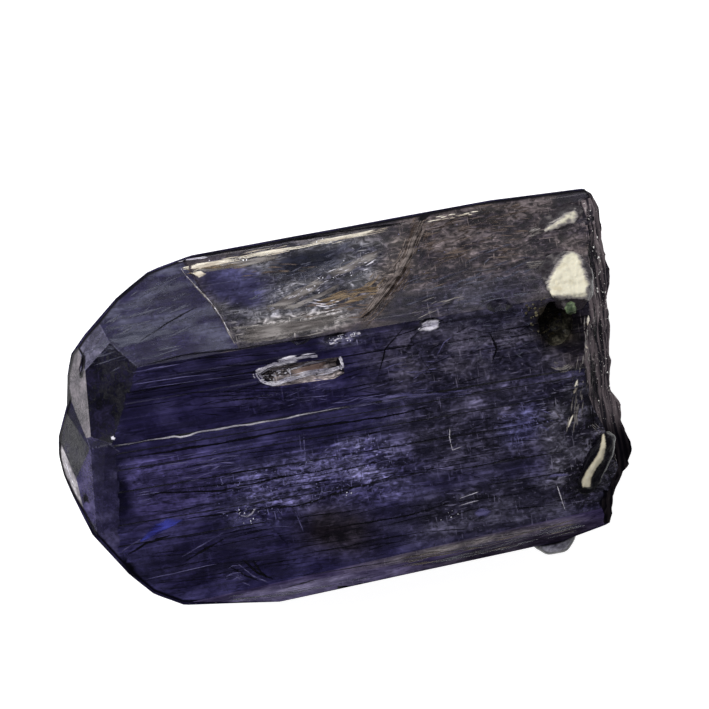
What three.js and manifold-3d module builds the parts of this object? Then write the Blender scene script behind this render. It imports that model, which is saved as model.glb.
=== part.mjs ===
// A rough tanzanite crystal lying on its flat back: a striated prism along X, terminated by slanted
// facets at the -X end and broken off at the +X end, with three remnants of cream calcite.
// Millimetres, +Z up. The origin is the centre of the footprint, on the surface it lies on.
import * as THREE from 'three';
import { mergeVertices } from 'three/addons/utils/BufferGeometryUtils.js';
import Module from 'manifold-3d';

const wasm = await Module();
wasm.setup();

// ---------------------------------------------------------------- driving dimensions

const halfLength = 18.9;
const prismStart = -22;
const prismEnd = 22;
const gap = 0.3;               // clearance between the crystal and each calcite remnant
const farAway = 60;            // size of the blocks that stand for half-spaces
const centreShift = { x: -0.09, y: 0.2 };   // from the drawing to the centre of the footprint

// Long edges of the prism, as seen in its cross-section (y, z).
const ridge = { y: 4.7, z: 15.4 };        // highest edge, between the back slope and the flat face
const midEdge = { y: -0.08, z: 14.98 };   // front edge of the flat face, over a small riser
const midStep = { y: -0.2, z: 14.84 };    // back edge of the broad front face, under that riser
const frontEdge = { y: -11.4, z: 10.9 };  // beyond the front bevel, which cuts it off
const frontGirdle = { y: -12.6, z: 8.2 };
const frontKeel = { y: -11.9, z: 4.9 };
const frontFoot = { y: -8.9, z: 1.1 };
const frontRest = { y: -6.4, z: 0 };
const backRest = { y: 6.6, z: 0 };
const backFoot = { y: 9.7, z: 1.5 };
const backKeel = { y: 11.9, z: 5.2 };
const backGirdle = { y: 12.1, z: 10.6 };

// Striations: how many treads each long face has and how far they step in or out.
const striations = { backSlope: 15, flatFace: 9, frontFace: 19, frontKeel: 5, backKeel: 6, foot: 4 };
const stepDepth = 0.055;       // mean depth of a tread
const riserWidth = 0.09;       // width of the slope from tread to tread
const treadShift = 0.7;        // how far a riser strays from an even spacing, in treads

// ---------------------------------------------------------------- helpers

/** Closed manifold solid of a three.js geometry. */
function solid(geometry) {
  const bare = geometry.index ? geometry.clone() : geometry;
  bare.deleteAttribute('normal');
  bare.deleteAttribute('uv');
  const merged = mergeVertices(bare, 1e-4);
  return new wasm.Manifold(new wasm.Mesh({
    numProp: 3,
    vertProperties: new Float32Array(merged.attributes.position.array),
    triVerts: new Uint32Array(merged.index.array),
  }));
}

/** Geometry of a manifold solid. */
function geometryOf(body) {
  const mesh = body.getMesh();
  const geometry = new THREE.BufferGeometry();
  geometry.setAttribute('position', new THREE.BufferAttribute(mesh.vertProperties, 3));
  geometry.setIndex(new THREE.BufferAttribute(mesh.triVerts, 1));
  return geometry;
}

/** Repeatable random numbers from 0 to 1. */
function randomStream(seed) {
  let state = seed >>> 0;
  return () => {
    state = (Math.imul(state, 1664525) + 1013904223) >>> 0;
    return state / 4294967296;
  };
}

/** Value at a whole-numbered lattice point, from -1 to 1. */
function latticeValue(i, j, k) {
  let hash = Math.imul(i, 374761393) + Math.imul(j, 668265263) + Math.imul(k, 1442695041);
  hash = Math.imul(hash ^ (hash >>> 13), 1274126177);
  return (((hash ^ (hash >>> 16)) >>> 0) / 2147483648) - 1;
}

/** Smooth value noise in space, from -1 to 1. */
function noise(x, y, z) {
  const cell = [Math.floor(x), Math.floor(y), Math.floor(z)];
  const blend = [x - cell[0], y - cell[1], z - cell[2]].map((t) => t * t * (3 - 2 * t));
  let sum = 0;
  for (let corner = 0; corner < 8; corner += 1) {
    const bit = [corner & 1, (corner >> 1) & 1, (corner >> 2) & 1];
    const weight = bit.reduce((w, b, axis) => w * (b ? blend[axis] : 1 - blend[axis]), 1);
    sum += weight * latticeValue(cell[0] + bit[0], cell[1] + bit[1], cell[2] + bit[2]);
  }
  return sum;
}

/** Straight-line interpolation in a list of [at, value] pairs that rises in `at`. */
function along(table, at) {
  const last = table.length - 1;
  if (at <= table[0][0]) return table[0][1];
  if (at >= table[last][0]) return table[last][1];
  const i = table.findIndex((row) => row[0] > at);
  const share = (at - table[i - 1][0]) / (table[i][0] - table[i - 1][0]);
  return THREE.MathUtils.lerp(table[i - 1][1], table[i][1], share);
}

const point = (x, y, z) => new THREE.Vector3(x, y, z);

/** Block that fills the half-space beyond the plane through three points, away from the core. */
function beyond(a, b, c) {
  const core = point(0, 0, 7);
  const plane = new THREE.Plane().setFromCoplanarPoints(a, b, c);
  if (plane.distanceToPoint(core) > 0) plane.negate();
  const geometry = new THREE.BoxGeometry(farAway * 2, farAway * 2, farAway);
  geometry.translate(0, 0, farAway / 2);
  const turn = new THREE.Quaternion().setFromUnitVectors(point(0, 0, 1), plane.normal);
  geometry.applyQuaternion(turn);
  geometry.translate(a.x, a.y, a.z);
  return solid(geometry);
}

/** Half-space above the plane z = zAt + slopeX (x - xAt) + slopeY (y - yAt). */
function above({ x, y, z, slopeX, slopeY }) {
  return beyond(point(x, y, z), point(x + 1, y, z + slopeX), point(x, y + 1, z + slopeY));
}

/** Upright column over an outline in plan, from low to high. */
function column(outline, low, high) {
  const shape = new THREE.Shape(outline.map(([x, y]) => new THREE.Vector2(x, y)));
  const geometry = new THREE.ExtrudeGeometry(shape, { depth: high - low, bevelEnabled: false });
  geometry.translate(0, 0, low);
  return solid(geometry);
}

const lumpWave = 1.7;          // waves of a lump's unevenness per radius

/** Rounded, uneven lump with the given half-sizes. */
function lump({ at, half, turn = [0, 0, 0], detail = 4, unevenness = 0.16, seed = 1, grow = 0 }) {
  const geometry = new THREE.IcosahedronGeometry(1, detail);
  const position = geometry.attributes.position;
  const v = new THREE.Vector3();
  for (let i = 0; i < position.count; i += 1) {
    v.fromBufferAttribute(position, i);
    const wave = v.clone().multiplyScalar(lumpWave);
    const swell = 1 + unevenness * noise(wave.x + seed * 7, wave.y, wave.z + seed * 3);
    position.setXYZ(i, v.x * (half[0] * swell + grow), v.y * (half[1] * swell + grow),
      v.z * (half[2] * swell + grow));
  }
  geometry.rotateX(turn[0]);
  geometry.rotateY(turn[1]);
  geometry.rotateZ(turn[2]);
  geometry.translate(at[0], at[1], at[2]);
  return solid(geometry);
}

// ---------------------------------------------------------------- the prism

/** Points from one section corner towards the next, stepped into narrow treads. */
function striated(from, to, treads, seed) {
  const random = randomStream(seed);
  const run = new THREE.Vector2(to.y - from.y, to.z - from.z);
  const outward = new THREE.Vector2(run.y, -run.x).normalize();
  const points = [new THREE.Vector2(from.y, from.z)];
  let level = 0;
  for (let i = 1; i < treads; i += 1) {
    const share = (i + (random() - 0.5) * treadShift) / treads;
    const next = -stepDepth * (0.15 + 1.7 * random() ** 2) * (i % 2);
    const riser = riserWidth / run.length();
    const before = run.clone().multiplyScalar(share - riser / 2).addScaledVector(outward, level);
    const after = run.clone().multiplyScalar(share + riser / 2).addScaledVector(outward, next);
    points.push(new THREE.Vector2(from.y + before.x, from.z + before.y));
    points.push(new THREE.Vector2(from.y + after.x, from.z + after.y));
    level = next;
  }
  return points;
}

/** Striated prism along X. The section turns counter-clockwise seen from +X. */
function makePrism() {
  const outline = [
    ...striated(backRest, backFoot, striations.foot, 11),
    ...striated(backFoot, backKeel, striations.foot, 12),
    ...striated(backKeel, backGirdle, striations.backKeel, 13),
    ...striated(backGirdle, ridge, striations.backSlope, 14),
    ...striated(ridge, midEdge, striations.flatFace, 15),
    new THREE.Vector2(midEdge.y, midEdge.z),
    ...striated(midStep, frontEdge, striations.frontFace, 16),
    new THREE.Vector2(frontEdge.y, frontEdge.z),
    ...striated(frontGirdle, frontKeel, striations.frontKeel, 17),
    ...striated(frontKeel, frontFoot, striations.foot, 18),
    ...striated(frontFoot, frontRest, striations.foot, 19),
    new THREE.Vector2(frontRest.y, frontRest.z),
  ];
  const geometry = new THREE.ExtrudeGeometry(new THREE.Shape(outline), {
    depth: prismEnd - prismStart,
    bevelEnabled: false,
  });
  // The section's (y, z) were drawn in the shape's (x, y); its depth becomes X.
  const toPrism = new THREE.Matrix4().set(0, 0, 1, prismStart, 1, 0, 0, 0, 0, 1, 0, 0, 0, 0, 0, 1);
  geometry.applyMatrix4(toPrism);
  return solid(geometry);
}

// ---------------------------------------------------------------- terminations

// The -X end is two groups of facets, grown side by side. In each, `slopes` are the sloping planes
// and `walls` the steep sides, given by their line in plan at the girdle, where it is widest.
const upperGroup = {
  slopes: {
    roof: { x: -12.76, y: 4.85, z: 15.3, slopeX: 0.6, slopeY: -0.2315 },
    shoulder: { x: -14.63, y: 7.99, z: 13.1, slopeX: 0.76, slopeY: -0.434 },
    brow: { x: -16.39, y: 3.84, z: 13.2, slopeX: 1.6, slopeY: -0.304 },
    hem: { x: -16.62, y: 0.72, z: 13.84, slopeX: 1.5, slopeY: 1.5 },
  },
  walls: [
    { from: [-17.4, 5.1], to: [-17.72, 3.4], girdle: 10.9 },
  ],
};

const lowerGroup = {
  slopes: {
    bevel: { x: -14.85, y: -2.3, z: 14.17, slopeX: 0.3, slopeY: 0.3 },
    step: { x: -15.27, y: -0.15, z: 14.8, slopeX: 0.6, slopeY: 0.235 },
    cheek: { x: -16.7, y: -0.25, z: 13.9, slopeX: 0.95, slopeY: 0.2 },
    snout: { x: -16.7, y: -0.25, z: 13.95, slopeX: 1.45, slopeY: -0.15 },
    lip: { x: -18.16, y: -2.21, z: 11.5, slopeX: 3.3, slopeY: 0.354 },
    seam: { x: -16.7, y: 0.6, z: 13.6, slopeX: 0.6, slopeY: -0.55 },
  },
  walls: [
    { from: [-17.6, 3.5], to: [-18.72, 1.0], girdle: 10.2 },
    { from: [-18.72, 1.0], to: [-18.9, -0.2], girdle: 9.9 },
    { from: [-18.9, -0.2], to: [-18.78, -1.6], girdle: 9.7 },
    { from: [-18.78, -1.6], to: [-18.38, -3.2], girdle: 9.5 },
  ],
};

// Steep sides of the whole crystal.
const sideWalls = [
  { from: [18.4, 11.5], to: [12, 11.75], girdle: 9.8 },
  { from: [12, 11.75], to: [-8.18, 11.42], girdle: 9.8 },
  { from: [-8.18, 11.42], to: [-10.97, 10.88], girdle: 9.6 },
  { from: [-10.97, 10.88], to: [-13.19, 9.64], girdle: 10.2 },
  { from: [-13.19, 9.64], to: [-15.92, 7.38], girdle: 10.8 },
  { from: [-15.92, 7.38], to: [-16.95, 6.3], girdle: 10.7 },
  { from: [-16.95, 6.3], to: [-17.4, 5.1], girdle: 10.6 },
  { from: [-18.38, -3.2], to: [-17.58, -5.75], girdle: 9.4 },
  { from: [-17.58, -5.75], to: [-15.6, -8.75], girdle: 9.2 },
  { from: [-15.6, -8.75], to: [-14.2, -10.3], girdle: 9.0 },
  { from: [-14.2, -10.3], to: [-12.37, -11.32], girdle: 8.6 },
  { from: [-12.37, -11.32], to: [-6.1, -12.16], girdle: 8.3 },
  { from: [-6.1, -12.16], to: [11.1, -11.34], girdle: 8.2 },
  { from: [13.4, -11.2], to: [15.9, -10.72], girdle: 8.0 },
];
const leanAbove = 0.1;
const leanBelow = 0.3;

/** Takes the space outside one steep side from a body. */
function cutWall(body, { from, to, girdle }) {
  const a = point(from[0], from[1], girdle);
  const b = point(to[0], to[1], girdle);
  const middle = a.clone().lerp(b, 0.5);
  const inward = point(a.y - b.y, b.x - a.x, 0).normalize();
  const upper = middle.clone().addScaledVector(inward, leanAbove).add(point(0, 0, 1));
  const lower = middle.clone().addScaledVector(inward, leanBelow).sub(point(0, 0, 1));
  return body.subtract(beyond(a, b, upper)).subtract(beyond(a, b, lower));
}

/** Space that both groups of end facets leave to the prism. */
function endMask() {
  const whole = solid(new THREE.BoxGeometry(farAway, farAway, farAway));
  const carve = ({ slopes, walls }) => {
    const sloped = Object.values(slopes).reduce((body, slope) => body.subtract(above(slope)), whole);
    return walls.reduce(cutWall, sloped);
  };
  return carve(upperGroup).add(carve(lowerGroup));
}

// The window facet at the back of the -X end: a lower plane, ending at a step that faces -X.
const windowFacet = { x: -8, y: ridge.y, z: ridge.z, slopeX: 0.004, slopeY: -0.72 };
const windowStep = [point(-8.71, 11.07, 10.8), point(-6.18, 5.4, 14.9), point(-8.25, 11.27, 11.8)];

// The bevel along the front of the prism.
const frontBevel = [point(-11.29, -11.13, 10.95), point(14.61, -9.64, 11.4), point(2, -12, 8.1)];

// ---------------------------------------------------------------- broken base

// Plan position (y, x) of the top rim of the break and of its furthest reach, lower down.
const breakRim = [[-12, 14.2], [-9.8, 14.6], [-7, 14.9], [-2.2, 15.6], [1, 16.7], [4.2, 17.3],
  [10.8, 17.8], [12, 17.7]];
const breakReach = [[-12, 15.4], [-10.7, 16.2], [-9.4, 16.9], [-8.4, 17.2], [-7.5, 17.9],
  [-6.5, 18.5], [-5.3, 18.6], [-3, 18.2], [-1.5, 17.9], [2, 18.5], [5.3, 19.1], [7, 19.1],
  [8.3, 18.9], [9.8, 19.0], [11, 18.6], [12, 17.9]];
const reachHeight = 7.6;       // height at which the break reaches furthest
const bulgeHalfHeight = 7.4;   // from there to where it has drawn back to the rim
const bulgeRoundness = 0.8;
const breakInset = 0.22;       // room for the roughness inside the outline
const undercut = { below: 4, slope: 0.28 };
const breakBlock = { depth: 12, across: 30, up: 20, middle: 8, cellsAcross: 30, cellsUp: 22 };

/** Roughness of the broken surface: thin layers along Y with coarse and fine hackle on them. */
function breakRoughness(y, z) {
  const layers = 0.16 * noise(y * 0.12, z * 1.7, 3);
  const coarse = 0.3 * noise(y * 0.7, z * 0.8, 11);
  const fine = 0.12 * noise(y * 1.9, z * 2.1, 23);
  return layers + coarse + fine;
}

/** Block whose -X side is the broken surface. */
function makeBreak() {
  const { depth, across, up, middle, cellsAcross, cellsUp } = breakBlock;
  const geometry = new THREE.BoxGeometry(depth, across, up, 1, cellsAcross, cellsUp);
  const position = geometry.attributes.position;
  const blockX = halfLength + depth / 2;
  for (let i = 0; i < position.count; i += 1) {
    if (position.getX(i) > 0) continue;
    const y = position.getY(i);
    const z = position.getZ(i) + middle;
    const offCentre = (z - reachHeight) / bulgeHalfHeight;
    const bulge = Math.max(0, 1 - offCentre ** 2) ** bulgeRoundness;
    const surface = THREE.MathUtils.lerp(along(breakRim, y), along(breakReach, y), bulge);
    const under = Math.max(0, undercut.below - z) * undercut.slope;
    position.setX(i, surface + breakRoughness(y, z) - breakInset - under - blockX);
  }
  geometry.translate(blockX, 0, middle);
  return solid(geometry);
}

// ---------------------------------------------------------------- pits, chips and growths

const pitOutline = [[-5.1, 2.95], [-3.9, 3.3], [0.4, 3.2], [0.65, 2.1], [-0.1, 1.8], [-4.1, 1.95]];
const pitFloor = 14.63;
const pitWall = { height: 0.55, inset: 0.32 };

/** Etch pit sunk in the flat face, with sloping walls. */
function makeEtchPit() {
  const shape = new THREE.Shape(pitOutline.map(([x, y]) => new THREE.Vector2(x, y)));
  const geometry = new THREE.ExtrudeGeometry(shape, {
    depth: 2,
    bevelEnabled: true,
    bevelThickness: pitWall.height,
    bevelSize: pitWall.inset,
    bevelOffset: -pitWall.inset,
    bevelSegments: 1,
  });
  geometry.translate(0, 0, pitFloor + pitWall.height);
  return solid(geometry);
}

const flakeColumn = { low: 4, high: 20 };

/** Thin plate lifted off a sloping face: the space over the plane, within a plan outline. */
function flake(plane, outline) {
  return above(plane).intersect(column(outline, flakeColumn.low, flakeColumn.high));
}

const tilt = {
  back: (backGirdle.z - ridge.z) / (backGirdle.y - ridge.y),
  flat: (ridge.z - midEdge.z) / (ridge.y - midEdge.y),
  front: (midStep.z - frontEdge.z) / (midStep.y - frontEdge.y),
};

// Each plate is deepest at its ragged edge and dies out on the side away from it.
const flakes = [
  // Broad plate on the front face, below a long crack.
  flake({ x: 0, y: -5.4, z: 12.85, slopeX: 0.001, slopeY: tilt.front - 0.03 },
    [[-6.6, -5.8], [-3.8, -5.95], [-1.8, -5.7], [0, -5.4], [2.2, -5.26], [5.7, -5.12], [8.4, -6.2],
      [9.6, -8.4], [9.2, -11.6], [-2.4, -11.8], [-4.6, -9.1]]),
  // Worn corner of the front face beside the break.
  flake({ x: 14, y: -3, z: 13.78, slopeX: -0.22, slopeY: tilt.front },
    [[13.2, -1.6], [14.3, -3.6], [12.9, -5.4], [14.1, -8.1], [19, -9], [19, -1]]),
  // Growth plate on the back slope, towards the break.
  flake({ x: 7.2, y: ridge.y, z: ridge.z - 0.12, slopeX: 0.016, slopeY: tilt.back },
    [[7.5, 12.5], [7.27, 11.13], [6.44, 9.67], [5.43, 7.95], [4.23, 6.85], [3.22, 6.0], [2.25, 5.44],
      [15, 5.2], [15.5, 9], [15, 12.5]]),
  // Shallow plate on the flat face.
  flake({ x: 6, y: ridge.y, z: ridge.z - 0.12, slopeX: 0.018, slopeY: tilt.flat },
    [[5.2, 3.6], [6.3, 4.3], [13.6, 4.1], [14.2, 1.9], [13.1, 0.6], [6.2, 1.1], [5.7, 2.2]]),
];

const chips = [
  { at: [6.6, 4.35, 15.62], half: [0.95, 0.5, 0.5], seed: 2 },
  { at: [0.6, 4.5, 15.62], half: [1.5, 0.6, 0.45], seed: 3 },
  { at: [-1.9, 4.75, 15.55], half: [0.8, 0.4, 0.35], seed: 4 },
  { at: [11.3, 5.0, 15.5], half: [0.9, 0.7, 0.55], seed: 5 },
  { at: [13.1, -6.9, 12.85], half: [0.9, 0.35, 0.5], seed: 6 },
  { at: [-15.75, -8.3, 11.2], half: [0.5, 0.9, 0.5], turn: [0, 0, 0.6], seed: 7 },
  { at: [-9.2, -0.2, 15.15], half: [0.6, 0.18, 0.25], seed: 8 },
  { at: [9.3, -10.4, 11.3], half: [0.9, 0.35, 0.4], seed: 9 },
  { at: [-1.2, -11.9, 9.0], half: [1.1, 0.3, 0.6], seed: 10 },
  { at: [-16.5, 5.25, 12.85], half: [0.3, 0.7, 0.3], turn: [0, 0, -0.5], seed: 12 },
  { at: [5.2, 12.0, 10.3], half: [1.6, 0.35, 0.5], seed: 13 },
  { at: [-4.5, 11.9, 9.4], half: [1.3, 0.3, 0.6], seed: 14 },
];

const cavity = { at: [14.75, 3.0, 15.1], half: [1.3, 1.45, 2.0], detail: 5, unevenness: 0.3, seed: 21 };

const nub = { at: [12.5, -10.95, 6.9], half: [1.5, 1.2, 1.35], detail: 5, unevenness: 0.1, seed: 31 };

const remnants = {
  calcite_patch: { at: [16.0, 5.75, 14.3], half: [1.35, 1.95, 0.8], turn: [-0.6, 0.1, 0.12],
    detail: 5, unevenness: 0.25, seed: 41 },
  calcite_fleck: { at: [16.3, 9.6, 11.95], half: [1.35, 0.55, 0.5], turn: [-0.6, 0.1, 0.42],
    detail: 4, unevenness: 0.25, seed: 43 },
  calcite_sliver: { at: [15.95, -6.45, 12.2], half: [0.42, 1.95, 0.42], turn: [0.2, 0.75, -0.48],
    detail: 4, unevenness: 0.3, seed: 44 },
};

const chipShape = { detail: 1, unevenness: 0.35 };

/** The whole crystal, with pockets where the calcite remnants sit. */
function makeCrystal() {
  let body = makePrism().intersect(endMask());
  body = sideWalls.reduce(cutWall, body);
  body = body.subtract(above(windowFacet).intersect(beyond(...windowStep)));
  body = body.subtract(beyond(...frontBevel));
  for (const plate of flakes) body = body.subtract(plate);
  for (const chip of chips) body = body.subtract(lump({ ...chipShape, ...chip }));
  body = body.subtract(makeEtchPit());
  body = body.subtract(lump(cavity));
  body = body.add(lump(nub));
  body = body.subtract(makeBreak());
  for (const remnant of Object.values(remnants)) body = body.subtract(lump({ ...remnant, grow: gap }));
  return body;
}

// ---------------------------------------------------------------- materials and group

const finish = (colour, roughness) => new THREE.MeshStandardMaterial({
  color: colour, roughness, metalness: 0,
});
const tanzanite = finish(0x2c2950, 0.18);
const calcite = finish(0xe8e4cd, 0.8);

const group = new THREE.Group();

/** Adds one named mesh to the group. */
function place(name, body, material) {
  const mesh = new THREE.Mesh(geometryOf(body), material);
  mesh.name = name;
  group.add(mesh);
}

place('crystal', makeCrystal(), tanzanite);
for (const [name, remnant] of Object.entries(remnants)) place(name, lump(remnant), calcite);

// The origin is the centre of the footprint.
group.position.set(centreShift.x, centreShift.y, 0);

export default group;
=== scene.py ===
"""Rough tanzanite: one grown crystal with calcite left on its broken base.

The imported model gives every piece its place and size. This script builds the finished
surface of the crystal, the veils and streaks in and on it, the calcite and the crumbs
of the break, and sets the piece on a pale floor in soft light. Lengths that are held
in the classes are millimetres and angles are degrees; Blender's own are metres.
"""

import logging
import math
import random
from dataclasses import dataclass
from enum import IntEnum
from typing import Any, Callable, ClassVar, Sequence, Union

import bmesh
import bpy
import numpy as np
from mathutils import Matrix, Vector, noise
from mathutils.bvhtree import BVHTree
from mathutils.geometry import convex_hull_2d
from mathutils.kdtree import KDTree


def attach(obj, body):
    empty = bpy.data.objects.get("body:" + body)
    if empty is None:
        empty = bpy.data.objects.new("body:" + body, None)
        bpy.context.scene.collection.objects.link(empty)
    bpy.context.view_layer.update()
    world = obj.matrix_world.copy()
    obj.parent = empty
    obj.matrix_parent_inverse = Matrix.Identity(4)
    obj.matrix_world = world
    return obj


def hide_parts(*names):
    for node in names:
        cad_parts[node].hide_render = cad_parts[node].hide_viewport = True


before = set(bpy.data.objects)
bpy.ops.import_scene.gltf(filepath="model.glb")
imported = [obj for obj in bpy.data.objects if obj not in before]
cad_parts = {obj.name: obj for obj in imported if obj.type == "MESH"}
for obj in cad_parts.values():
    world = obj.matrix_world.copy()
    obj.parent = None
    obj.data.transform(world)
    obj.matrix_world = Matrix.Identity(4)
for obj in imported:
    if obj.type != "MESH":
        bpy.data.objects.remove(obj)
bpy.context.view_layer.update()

MM = 0.001
DISPLAY_WHITE = 255
DISPLAY_GAMMA = 2.2
ROUGH_FALL, ROUGH_GAP = 0.9, 2.1    # how layers of rough noise weaken, and how they narrow
SMOOTH = 180.0  # degrees past which an edge of an even skin stays crisp: none does
WELD = 1e-7     # metres between corners of the plain triangles that are one corner
TINY = 1e-12    # keeps a division from failing
SIDES = ((0, 1), (1, 2), (2, 0))    # the corners that each side of a triangle joins

Colour = tuple[float, float, float]
Triple = tuple[float, float, float]
Place = tuple[float, float]
Term = Union["Signal", float, int]

log = logging.getLogger("rough_tanzanite")


def tone(red: float, green: float, blue: float) -> Colour:
    """Turn a colour as it is displayed, 0 to 255, into the linear one that shaders use."""
    return tuple((value / DISPLAY_WHITE) ** DISPLAY_GAMMA for value in (red, green, blue))


def rugged(place: Vector, layers: int) -> float:
    """Give rough noise at a place, mostly between -1 and 1."""
    return noise.fractal(place, ROUGH_FALL, ROUGH_GAP, layers)


# ---------------------------------------------------------------------------- nodes


@dataclass(frozen=True)
class Signal:
    """A number that flows through a node tree, with Python's operators on it."""

    graph: "Graph"
    socket: bpy.types.NodeSocket

    def __add__(self, other: Term) -> "Signal":
        """Add."""
        return self.graph.math("ADD", self, other)

    def __radd__(self, other: Term) -> "Signal":
        """Add, reflected."""
        return self.graph.math("ADD", other, self)

    def __sub__(self, other: Term) -> "Signal":
        """Subtract."""
        return self.graph.math("SUBTRACT", self, other)

    def __rsub__(self, other: Term) -> "Signal":
        """Subtract, reflected."""
        return self.graph.math("SUBTRACT", other, self)

    def __mul__(self, other: Term) -> "Signal":
        """Multiply."""
        return self.graph.math("MULTIPLY", self, other)

    def __rmul__(self, other: Term) -> "Signal":
        """Multiply, reflected."""
        return self.graph.math("MULTIPLY", other, self)

    def clipped(self) -> "Signal":
        """Keep the number between 0 and 1."""
        return self.graph.math("ADD", self, 0.0, clamp=True)

    def step(self, low: float, high: float, start: float = 0.0, end: float = 1.0) -> "Signal":
        """Rise smoothly from one value to another.

        Args:
            low: Input where the rise begins.
            high: Input where it ends.
            start: Value below the rise.
            end: Value above it.

        Returns:
            The smoothed signal.
        """
        settings = {"interpolation_type": "SMOOTHSTEP"}
        inputs = {0: self, 1: low, 2: high, 3: start, 4: end}
        return self.graph.signal("ShaderNodeMapRange", settings, inputs)


class Graph:
    """Builds the nodes of one material, world or geometry tree."""

    def __init__(self, tree: bpy.types.NodeTree) -> None:
        """Start on an empty tree.

        Args:
            tree: The tree to build in; what it holds is removed.
        """
        self.tree = tree
        tree.nodes.clear()

    def plug(self, socket: bpy.types.NodeSocket, value: Any) -> None:
        """Give a socket a link or a value.

        Args:
            socket: The input socket.
            value: A Signal, an output socket, or a plain value.
        """
        if isinstance(value, Signal):
            value = value.socket
        if isinstance(value, bpy.types.NodeSocket):
            self.tree.links.new(value, socket)
        elif socket.type == "RGBA" and len(value) == 3:
            socket.default_value = (*value, 1.0)
        else:
            socket.default_value = value

    def node(self, kind: str, settings: dict | None = None,
             inputs: dict | None = None) -> bpy.types.Node:
        """Add one node.

        Args:
            kind: Blender's type of the node.
            settings: Its properties, set before its sockets; "stops" fills a ramp.
            inputs: Value or link of its sockets, by name or index.

        Returns:
            The new node.
        """
        made = self.tree.nodes.new(kind)
        for name, value in (settings or {}).items():
            if name == "stops":
                self.fill_ramp(made.color_ramp, value)
            else:
                setattr(made, name, value)
        for name, value in (inputs or {}).items():
            self.plug(made.inputs[name], value)
        return made

    @staticmethod
    def fill_ramp(ramp: bpy.types.ColorRamp, stops: Sequence[tuple[float, Colour]]) -> None:
        """Put colour stops on a ramp.

        Args:
            ramp: The ramp, which has its two first stops.
            stops: Position and colour of each stop, lowest first.
        """
        while len(ramp.elements) < len(stops):
            ramp.elements.new(1.0)
        for element, (position, colour) in zip(ramp.elements, stops):
            element.position = position
            element.color = (*colour, 1.0)

    def signal(self, kind: str, settings: dict | None = None, inputs: dict | None = None,
               output: str | int = 0) -> Signal:
        """Add a node and take one of its outputs, by name or index."""
        return Signal(self, self.node(kind, settings, inputs).outputs[output])

    def math(self, operation: str, *terms: Term, clamp: bool = False) -> Signal:
        """Add one Math node by Blender's name of the operation."""
        settings = {"operation": operation, "use_clamp": clamp}
        return self.signal("ShaderNodeMath", settings, dict(enumerate(terms)))

    def largest(self, first: Signal, *others: Signal) -> Signal:
        """Take the largest of several numbers."""
        for other in others:
            first = self.math("MAXIMUM", first, other)
        return first

    def blend(self, factor: Term, first: Any, second: Any, mode: str = "MIX") -> Signal:
        """Mix two colours, or join them in another of Blender's ways."""
        settings = {"data_type": "RGBA", "blend_type": mode}
        return self.signal("ShaderNodeMix", settings, {0: factor, 6: first, 7: second}, 2)

    def stretched(self, place: Signal, scale: Triple) -> Signal:
        """Scale a position by axis, for a pattern that is drawn out one way."""
        settings = {"operation": "MULTIPLY"}
        return self.signal("ShaderNodeVectorMath", settings, {0: place, 1: scale})

    def cloud(self, place: Signal, scale: float, detail: float = 3.0, seed: float = 0.0,
              warp: float = 0.0) -> Signal:
        """Add a noise pattern.

        Args:
            place: The position that it reads.
            scale: Repeats per unit of that position.
            detail: Number of finer layers.
            seed: Fourth coordinate, which picks the pattern.
            warp: How far it is bent into worm-like shapes.

        Returns:
            The noise, about 0.5 on average.
        """
        settings = {"noise_dimensions": "4D"}
        inputs = {"Vector": place, "W": seed, "Scale": scale, "Detail": detail, "Distortion": warp}
        return self.signal("ShaderNodeTexNoise", settings, inputs)

    def streaks(self, place: Signal, along: float, across: float, detail: float = 3.0,
                seed: float = 0.0, warp: float = 0.0) -> Signal:
        """Add a noise pattern with one scale along the crystal and another across it."""
        return self.cloud(self.stretched(place, (along, across, across)), 1.0, detail, seed, warp)

    def bump(self, height: Signal, rise: float, strength: float = 1.0) -> bpy.types.NodeSocket:
        """Turn a pattern into a bent normal, with its full rise in millimetres."""
        inputs = {"Strength": strength, "Distance": rise * MM, "Height": height}
        return self.node("ShaderNodeBump", inputs=inputs).outputs["Normal"]

    def principled(self, **inputs: Any) -> bpy.types.NodeSocket:
        """Add a principled shader, whose sockets are named with underscores for spaces."""
        named = {name.replace("_", " "): value for name, value in inputs.items()}
        return self.node("ShaderNodeBsdfPrincipled", inputs=named).outputs[0]

    def output(self, surface: bpy.types.NodeSocket, **others: bpy.types.NodeSocket) -> None:
        """Make a shader the surface of the material, and others its other parts."""
        self.node("ShaderNodeOutputMaterial", inputs={"Surface": surface, **others})


# ------------------------------------------------------------------------- finishes


def new_material(name: str) -> tuple[bpy.types.Material, Graph, Signal]:
    """Start a material whose patterns are in millimetres of the object.

    Args:
        name: Name of the material.

    Returns:
        The material, its graph, and the position on the object in millimetres.
    """
    material = bpy.data.materials.new(name)
    material.use_nodes = True
    graph = Graph(material.node_tree)
    spot = graph.signal("ShaderNodeTexCoord", output="Object")
    return material, graph, graph.stretched(spot, (1 / MM, 1 / MM, 1 / MM))


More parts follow.
